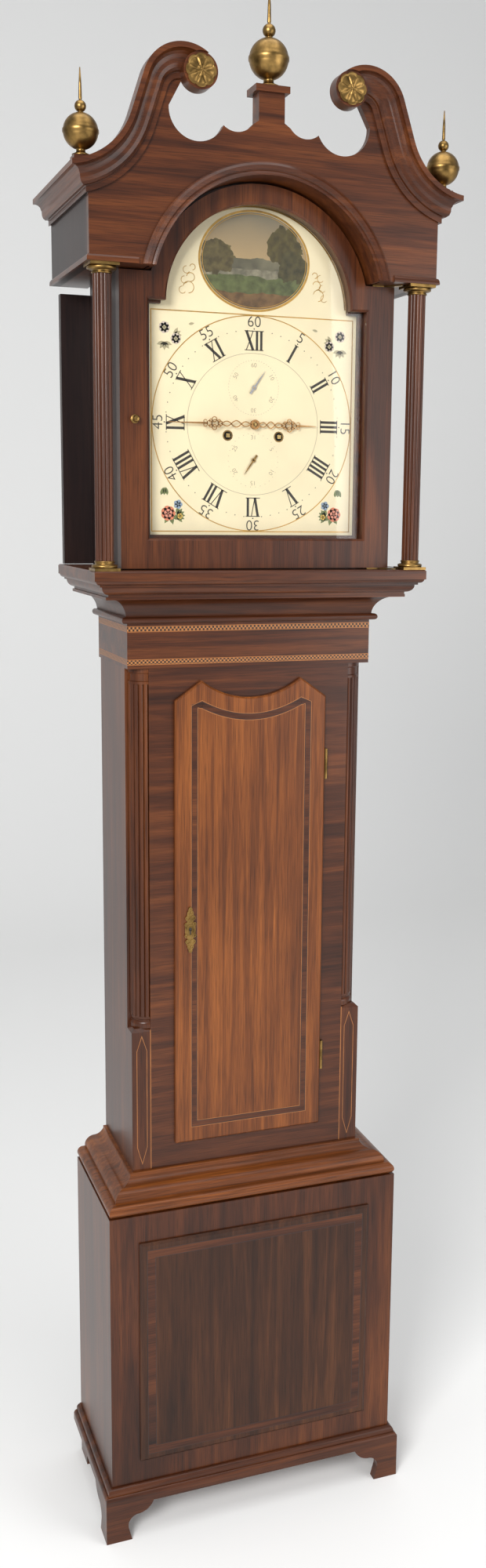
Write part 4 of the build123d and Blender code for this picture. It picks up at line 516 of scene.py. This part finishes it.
def painted_view():
    """A painted landscape of sky, hills, water and trees for the arch's roundel."""
    material, tree, shader = new_material("painted_landscape")
    link = tree.links.new
    place = tree.nodes.new("ShaderNodeTexCoord")
    axes = tree.nodes.new("ShaderNodeSeparateXYZ")
    link(place.outputs["Object"], axes.inputs["Vector"])

    def math(operation, first, second):
        node = tree.nodes.new("ShaderNodeMath")
        node.operation = operation
        for socket, value in zip(node.inputs, (first, second)):
            if isinstance(value, (int, float)):
                socket.default_value = value
            else:
                link(value, socket)
        return node.outputs["Value"]

    def ripple(scale):
        noise = tree.nodes.new("ShaderNodeTexNoise")
        noise.inputs["Scale"].default_value = scale
        noise.inputs["Detail"].default_value = 5
        link(place.outputs["Object"], noise.inputs["Vector"])
        return noise.outputs["Fac"]

    def laid(under, mask, colour, varied):
        tones = tree.nodes.new("ShaderNodeValToRGB")
        tones.color_ramp.elements[0].position = 0.35
        tones.color_ramp.elements[0].color = (*[c * 0.45 for c in colour], 1)
        tones.color_ramp.elements[1].position = 0.65
        tones.color_ramp.elements[1].color = (*colour, 1)
        link(ripple(varied), tones.inputs["Fac"])
        mix = tree.nodes.new("ShaderNodeMix")
        mix.data_type = "RGBA"
        link(mask, mix.inputs["Factor"])
        link(under, mix.inputs["A"])
        link(tones.outputs["Color"], mix.inputs["B"])
        return mix.outputs["Result"]

    def below(level, rough, scale):
        edge = math("ADD", axes.outputs["Z"], math("MULTIPLY", ripple(scale), rough))
        return math("LESS_THAN", edge, level + rough / 2)

    def crown(x, z, radius, rough):
        dx = math("SUBTRACT", axes.outputs["X"], x)
        dz = math("SUBTRACT", axes.outputs["Z"], z)
        distance = math("POWER", math("ADD", math("MULTIPLY", dx, dx), math("MULTIPLY", dz, dz)), 0.5)
        edge = math("ADD", distance, math("MULTIPLY", ripple(70), rough))
        return math("LESS_THAN", edge, radius + rough / 2)

    sky = tree.nodes.new("ShaderNodeValToRGB")
    sky.color_ramp.elements[0].color = (0.50, 0.34, 0.16, 1)
    sky.color_ramp.elements[1].color = (0.20, 0.17, 0.11, 1)
    height = math("MULTIPLY", math("SUBTRACT", axes.outputs["Z"], 1.985), 13)
    link(math("ADD", height, math("MULTIPLY", ripple(22), 0.3)), sky.inputs["Fac"])
    picture = laid(sky.outputs["Color"], below(1.990, 0.020, 28), (0.20, 0.18, 0.11), 30)
    picture = laid(picture, below(1.976, 0.006, 60), (0.30, 0.27, 0.18), 90)
    picture = laid(picture, below(1.966, 0.020, 40), (0.13, 0.15, 0.05), 80)
    picture = laid(picture, crown(0.046, 2.010, 0.027, 0.030), (0.11, 0.085, 0.022), 110)
    picture = laid(picture, crown(0.060, 1.982, 0.022, 0.026), (0.09, 0.075, 0.022), 110)
    picture = laid(picture, crown(-0.058, 1.990, 0.025, 0.028), (0.13, 0.10, 0.035), 110)
    picture = laid(picture, below(1.944, 0.016, 50), (0.20, 0.11, 0.04), 70)
    link(picture, shader.inputs["Base Color"])
    shader.inputs["Roughness"].default_value = 0.35
    roundel = arc(0, ROUNDEL, 82, 0, 360, 96, 67 / 82)[:-1]
    flat("arch_landscape", [roundel], FACE + 0.04, material, "case")


def petals(x, z, radius, count, turn=0.0):
    """Rounded petals about a point."""
    shapes = []
    for i in range(count):
        a = 360 * i / count + turn
        px, pz = x + 0.55 * radius * cos(radians(a)), z + 0.55 * radius * sin(radians(a))
        shapes.append(arc(px, pz, 0.5 * radius, 0, 360, 14)[:-1])
    return shapes


def leaf(x, z, length, angle):
    """A pointed leaf from its stalk end."""
    a = radians(angle)
    outline = [(0, 0), (0.3, 0.2), (0.65, 0.19), (1, 0), (0.65, -0.19), (0.3, -0.2)]
    return [
        (x + length * (u * cos(a) - v * sin(a)), z + length * (u * sin(a) + v * cos(a)))
        for u, v in outline
    ]


def corner_flowers():
    """Sprays of flowers in the four corners outside the minute ring."""
    rose = paint(
        "rose_red", (0.80, 0.24, 0.12),
        roughness=0.4, metallic=0.0, coat=0.0, speckle=0.3, speckle_scale=400,
    )
    deep = paint("rose_heart", (0.78, 0.30, 0.20), roughness=0.4)
    blue = paint("flower_blue", (0.26, 0.34, 0.44), roughness=0.4)
    mauve = paint("flower_mauve", (0.62, 0.53, 0.44), roughness=0.4)
    yellow = paint("flower_yellow", (0.75, 0.50, 0.10), roughness=0.4)
    green = paint(
        "leaf_green", (0.20, 0.24, 0.08),
        roughness=0.4, metallic=0.0, coat=0.0, speckle=0.4, speckle_scale=300,
    )
    grey_green = paint("leaf_grey_green", (0.42, 0.37, 0.22), roughness=0.4)
    for side in (-1, 1):
        label = "left" if side < 0 else "right"
        out = 0 if side > 0 else 180

        def spray(x, z, length, turns):
            return [leaf(side * x, DIAL + z, length, out + side * turn) for turn in turns]

        low_leaves = spray(118, -133, 13, (100, 130, 155, 180, 205, 230))
        low_leaves += spray(128, -130, 17, (215, 255, 300))
        for i in range(3):
            low_leaves.append(leaf(side * (132 + 5 * i), DIAL - 104, 12, 90 + side * (16 * i - 12)))
        flat(f"low_leaves_{label}", low_leaves, FACE + 0.03, green, "case")
        flat(f"rose_{label}", petals(side * 131, DIAL - 130, 10.5, 7), FACE + 0.05, rose, "case")
        heart = petals(side * 131, DIAL - 130, 6, 5, 20)
        flat(f"rose_heart_{label}", heart, FACE + 0.07, deep, "case")
        blues = petals(side * 116, DIAL - 117, 6.5, 5)
        flat(f"blue_flower_{label}", blues, FACE + 0.06, blue, "case")
        yellows = petals(side * 113, DIAL - 134, 4, 5)
        flat(f"yellow_flower_{label}", yellows, FACE + 0.06, yellow, "case")
        high_leaves = spray(136, 112, 12, (200, 235, 270, 305, 340))
        high_leaves += spray(122, 122, 12, (120, 150, 180, 210))
        high_leaves.append(leaf(side * 100, DIAL + 138, 9, out + 180 - side * 12))
        flat(f"high_leaves_{label}", high_leaves, FACE + 0.03, grey_green, "case")
        mauves = petals(side * 136, DIAL + 132, 8, 7) + petals(side * 119, DIAL + 117, 7.5, 7, 20)
        flat(f"mauve_flowers_{label}", mauves, FACE + 0.05, mauve, "case")
        hearts = petals(side * 136, DIAL + 132, 3, 4) + petals(side * 119, DIAL + 117, 3, 4)
        flat(f"mauve_hearts_{label}", hearts, FACE + 0.07, grey_green, "case")


dial_rings()
gilding_lines()
painted_view()
corner_flowers()


# Inlay on the case

def frame_line(name, route, width, depth, material, body, closed=True):
    """A line let into a front surface."""
    flat(name, ribbon(route, width, closed), depth, material, body)


def frieze_bands():
    """Two checkered bands between fine lines, across the frieze's front and back along its sides."""
    front = front_of("trunk_frieze") + SKIN
    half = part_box("trunk_frieze")[1][0] * 1000 + SKIN
    for index, level in enumerate((1409.0, 1458.0)):
        z0, z1 = level - 3.0, level + 3.0
        points = [at(-half, z0, 2), at(-half, z0, front), at(half, z0, front), at(half, z0, 2)]
        points += [at(-half, z1, 2), at(-half, z1, front), at(half, z1, front), at(half, z1, 2)]
        faces = [(0, 1, 5, 4), (1, 2, 6, 5), (2, 3, 7, 6)]
        mesh_piece(f"frieze_band_{index}", points, faces, band_checkers, "case")
        for edge in (z0 - 0.8, z1 + 0.8):
            strip = [at(-half, edge - 0.5, 2), at(-half, edge - 0.5, front), at(half, edge - 0.5, front)]
            strip += [at(half, edge - 0.5, 2), at(-half, edge + 0.5, 2), at(-half, edge + 0.5, front)]
            strip += [at(half, edge + 0.5, front), at(half, edge + 0.5, 2)]
            mesh_piece(f"frieze_line_{index}_{int(edge)}", strip, faces, inlay, "case")


def door_shape(inset, hollow_steps=24):
    """The trunk door's outline this far inside its edge."""
    half, bottom, shoulder = 122.0, 641.0, 1349.0
    peak_x, peak, hollow = 80.0, 1379.0, 1351.5
    edge = half - inset
    side = [(-edge, bottom + inset), (edge, bottom + inset), (edge, shoulder - 0.3 * inset)]
    top = peak - inset * 1.2
    sag = top - (hollow - inset)
    across = [peak_x * cos(pi * i / hollow_steps) for i in range(hollow_steps + 1)]
    crest = [(x, top - sag * (1 - (x / peak_x) ** 2)) for x in across]
    return side + crest + [(-edge, shoulder - 0.3 * inset)]


def case_inlay():
    """Lines and crossbands on the door, base panel and corner blocks."""
    door = front_of("trunk_door") + SKIN
    frame_line("door_band", door_shape(30), 9, door, ebony_and_keyhole_shade, "trunk_door")
    frame_line("door_band_veneer", door_shape(30), 7.4, door + 0.05, mahogany_cross, "trunk_door")
    for name, inset in (("outer", 24.8), ("inner", 35.2)):
        frame_line(f"door_line_{name}", door_shape(inset), 0.8, door + 0.08, inlay, "trunk_door")
    panel = front_of("base_panel") + SKIN
    route = rectangle(-176, 147, 176, 487)
    frame_line("panel_band", route, 14, panel, ebony_and_keyhole_shade, "case")
    frame_line("panel_band_veneer", route, 12.6, panel + 0.05, mahogany_cross, "case")
    block = front_of("corner_blocks") + SKIN
    for side in (-1, 1):
        x = side * 175
        lozenge = [(x, 612), (x + 8, 640), (x + 8, 800), (x, 824), (x - 8, 800), (x - 8, 640)]
        label = "left" if side < 0 else "right"
        frame_line(f"block_lozenge_{label}", lozenge, 0.9, block, inlay, "case")
        edge = [(side * 161, 602), (side * 161, 834)]
        frame_line(f"block_edge_{label}", edge, 1.2, block, inlay, "case", False)


frieze_bands()
case_inlay()


# Brasswork

def ball_finial(name, base, ball, height, foot):
    """A ball-and-spire finial with a raised band round its ball."""
    neck, middle = 0.26 * ball, height - 3.38 * ball
    profile = [(0, 0), (foot, 0), (foot, 0.28 * (middle - ball)), (0.8 * foot, 0.4 * (middle - ball))]
    profile += [(1.05 * neck, 0.62 * (middle - ball)), (neck, 0.9 * (middle - ball))]
    for i in range(33):
        a = -1.31 + 2.62 * i / 32
        band = 1.0 + (0.035 if abs(a) < 0.12 else 0)
        profile.append((ball * band * cos(a), middle + ball * sin(a)))
    top = middle + 0.966 * ball
    small = 0.33 * ball
    for i in range(13):
        a = -1.2 + 2.55 * i / 12
        profile.append((small * cos(a), top + 1.1 * small + small * sin(a)))
    spire = top + 2.15 * small
    profile += [(0.3 * small, spire + 0.2 * small), (0.24 * small, (spire + height) / 2)]
    profile += [(0.7, height), (0, height)]
    return turned(name, profile, base, brass, "hood")


MIDDLE_BALL = 27.5
CORNER_BALL = 23.5
ROSETTE_X = 109.5
ROSETTE_Z = 2211
ROSETTE_FRONT = 276.4
ROSETTE_RADIUS = 21.5


def pediment_brass():
    """Finials, rosettes, and the columns' bases and capitals."""
    finials = [ball_finial("finial_middle", at(0, 2209, 238), MIDDLE_BALL, 131, 15)]
    for side in (-1, 1):
        label = "left" if side < 0 else "right"
        base = at(side * 267.5, 2094, 247)
        finials.append(ball_finial(f"finial_{label}", base, CORNER_BALL, 111, 12))
        points, faces = [], []
        rings, around = 14, 96
        for j in range(rings + 1):
            radius = ROSETTE_RADIUS * j / rings
            for i in range(around):
                a = 2 * pi * i / around
                petal = abs(cos(4 * a)) ** 0.6
                edge = radius * (1 - 0.10 * (1 - petal) * j / rings)
                rise = 2.0 * petal * sin(pi * min(1, j / rings)) + (1.2 if j > 0.88 * rings else 0)
                bead = 2.4 * max(0.0, 1 - (radius / 6.5) ** 2)
                x, z = side * ROSETTE_X + edge * cos(a), ROSETTE_Z + edge * sin(a)
                points.append(at(x, z, ROSETTE_FRONT + min(3.5, rise + bead)))
        for j in range(rings):
            for i in range(around):
                k = (i + 1) % around
                near, far = j * around, (j + 1) * around
                faces.append((near + i, far + i, far + k, near + k))
        finials.append(mesh_piece(f"rosette_{label}", points, faces, brass, "hood", True))
        for place, level, up, half in (("base", 1546, 1, 18.5), ("capital", 1962, -1, 20.5)):
            base = at(side * 238, level, 234)
            ring = [(half * 0.93, 4), (half * 1.0, 5.2), (half * 1.0, 7.6)]
            ring += [(half * 0.9, 8.8), (13.8, 9.3)]
            ring += [(13.4, 11.2), (14.4, 12.0), (14.4, 13.6), (12.6, 14)]
            collar = [(0, 4)] + ring + [(0, 14)]
            shaped = [(radius, up * height) for radius, height in collar]
            finials.append(turned(f"column_{place}_{label}", shaped, base, brass, "hood"))
            slab = 4 * up / 1000
            signs = ((-1, -1), (1, -1), (1, 1), (-1, 1))
            corners = [base + Vector((a * half / 1000, b * half / 1000, 0)) for a, b in signs]
            points = corners + [corner + Vector((0, 0, slab)) for corner in corners]
            box_faces = [(0, 1, 2, 3), (4, 5, 6, 7)]
            box_faces += [(0, 1, 5, 4), (1, 2, 6, 5), (2, 3, 7, 6), (3, 0, 4, 7)]
            plate = mesh_piece(
                f"column_plate_{place}_{label}", points, box_faces, brass, "hood"
            )
            finials.append(plate)
    for piece in finials:
        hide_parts("hood_brasses")


pediment_brass()


# Hands

def sheet_metal(piece):
    """Give flat shapes the thickness of sawn sheet."""
    thick = piece.modifiers.new("metal", "SOLIDIFY")
    thick.thickness = 0.0008
    thick.offset = 0


def wave(length, start, reach, turns, phase=0.0, steps=60):
    """A strand that weaves along a hand between two distances from its hub."""
    points = []
    for i in range(steps + 1):
        u = i / steps
        swell = reach * (0.35 + 0.65 * sin(pi * u) ** 0.8)
        points.append((swell * sin(pi * turns * u + phase), start + (length - start) * u))
    return points


def pierced_hand(name, length, head, depth, angle, body, replaced):
    """An open gilt hand: woven strands, a lattice head of rings and a slender point."""
    shapes = []
    for phase in (0, pi):
        shapes += ribbon(wave(head - 9, 6, 4.6, 3, phase), 1.5)
    rings = [(0, head, 5.2), (-5.6, head + 1, 3.6), (5.6, head + 1, 3.6)]
    rings += [(0, head + 8.5, 3.8), (0, head - 8, 3.4), (-3.6, head + 6.5, 2.2)]
    rings += [(3.6, head + 6.5, 2.2), (-3.4, head - 6, 2.0), (3.4, head - 6, 2.0)]
    for x, z, radius in rings:
        shapes += ribbon(arc(x, z, radius, 0, 360, 20)[:-1], 1.25, True)
    point = [(-1.5, head + 11), (1.5, head + 11), (0.45, length - 3)]
    shapes.append(point + [(0, length), (-0.45, length - 3)])
    for side in (-1, 1):
        barb = arc(side * 2.6, head + 15, 2.4, 90 - side * 150, 90 + side * 60, 10)
        shapes += ribbon(barb, 1.1)
    shapes += ribbon(arc(0, 0, 5.4, 0, 360, 28)[:-1], 3.2, True)
    a = radians(angle)
    laid = [
        [(x * cos(a) + z * sin(a), DIAL - x * sin(a) + z * cos(a)) for x, z in shape]
        for shape in shapes
    ]
    hand = flat(name, laid, depth, hand_gilt, body)
    sheet_metal(hand)
    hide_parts(replaced)


pierced_hand("minute_hand_pierced", 134, 62, 193.6, 270, "centre_arbor", "minute_hand")
pierced_hand("hour_hand_pierced", 99, 54, 190.1, 90, "hour_pipe", "hour_hand")
for node, metal in (("seconds_hand", steel), ("date_hand", brass)):
    nodes[node].data.materials.clear()
    nodes[node].data.materials.append(metal)


# Escutcheon

def escutcheon():
    """A pierced keyhole plate with lobes at its ends, and painted shade in its keyhole: a flat dark
    sheet.
    """
    front = front_of("escutcheon")
    x, z = -99, 992
    scrolls = []
    for up in (-1, 1):
        for side in (-1, 1):
            scrolls += ribbon(arc(x + side * 4.2, z + up * 19, 3.4, 0, 360, 18)[:-1], 1.3, True)
            scrolls += ribbon(arc(x + side * 2.4, z + up * 27.5, 2.3, 0, 360, 16)[:-1], 1.1, True)
            scrolls += ribbon(arc(x + side * 6.2, z + up * 9, 2.6, 0, 360, 16)[:-1], 1.2, True)
        scrolls += ribbon(arc(x, z + up * 33.5, 2.4, 0, 360, 16)[:-1], 1.2, True)
    scrolls += ribbon(arc(x, z, 6.4, 0, 360, 32, 1.25)[:-1], 1.4, True)
    sheet_metal(flat("escutcheon_scrolls", scrolls, front + 0.4, brass, "trunk_door"))
    # The keyhole is not cut: a dark sheet just in front of the plate paints the shade seen through the
    # hole.
    keyhole = [arc(x, z + 1.5, 2.3, 0, 360, 20)[:-1], rectangle(x - 1.0, z - 8, x + 1.0, z)]
    flat("keyhole_shade", keyhole, front + 0.2, ebony_and_keyhole_shade, "trunk_door")


escutcheon()


# Stage, lights and camera

def studio():
    """A pale floor that curves up into a backdrop, with soft lights."""
    pale = paint("studio_paper", (0.90, 0.895, 0.88), roughness=0.9)
    points, faces = [], []
    curve = [(-8.0, 0.0), (3.0, 0.0)]
    curve += [(3.0 + 1.5 * sin(radians(a)), 1.5 - 1.5 * cos(radians(a))) for a in range(10, 91, 10)]
    curve.append((4.5, 7.0))
    for y, z in curve:
        points += [(-9, y, z), (9, y, z)]
    for i in range(len(curve) - 1):
        faces.append((2 * i, 2 * i + 1, 2 * i + 3, 2 * i + 2))
    mesh = bpy.data.meshes.new("backdrop")
    mesh.from_pydata(points, [], faces)
    mesh.materials.append(pale)
    for face in mesh.polygons:
        face.use_smooth = True
    backdrop = bpy.data.objects.new("backdrop", mesh)
    bpy.context.scene.collection.objects.link(backdrop)
    lamps = (
        ("key_light", (-2.2, -2.8, 2.7), (0.0, 0.0, 1.3), 1.4, 135),
        ("fill_light", (2.4, -2.8, 1.5), (0.0, 0.0, 1.0), 2.2, 50),
        ("top_light", (0.0, -0.6, 4.2), (0.0, 0.0, 1.0), 2.5, 45),
    )
    for name, place, target, size, power in lamps:
        light = bpy.data.lights.new(name, "AREA")
        light.size = size
        light.energy = power
        lamp = bpy.data.objects.new(name, light)
        lamp.location = place
        aim = Vector(target) - Vector(place)
        lamp.rotation_euler = aim.to_track_quat("-Z", "Y").to_euler()
        bpy.context.scene.collection.objects.link(lamp)
    world = bpy.data.worlds.new("studio_world")
    world.use_nodes = True
    world.node_tree.nodes["Background"].inputs["Color"].default_value = (0.9, 0.92, 0.95, 1)
    world.node_tree.nodes["Background"].inputs["Strength"].default_value = 0.46
    bpy.context.scene.world = world


def photo_camera():
    """The camera where the photographer stood."""
    yaw = Matrix.Rotation(-0.3568, 3, "Z")
    turn = yaw @ Matrix.Rotation(-0.1782, 3, "X") @ Matrix.Rotation(-0.0118, 3, "Y")
    right, forward, up = turn.col[0], turn.col[1], turn.col[2]
    lens = bpy.data.cameras.new("photo_camera")
    lens.sensor_fit = "VERTICAL"
    lens.sensor_height = 24
    lens.lens = 21.53
    lens.shift_x = -0.0248
    lens.shift_y = -0.0155
    camera = bpy.data.objects.new("photo_camera", lens)
    axes = Matrix((right, up, -forward)).transposed().to_4x4()
    camera.matrix_world = Matrix.Translation((-0.7010, -2.0630, 1.6388)) @ axes
    bpy.context.scene.collection.objects.link(camera)
    bpy.context.scene.camera = camera


studio()
photo_camera()
bpy.context.scene.view_settings.view_transform = "Standard"
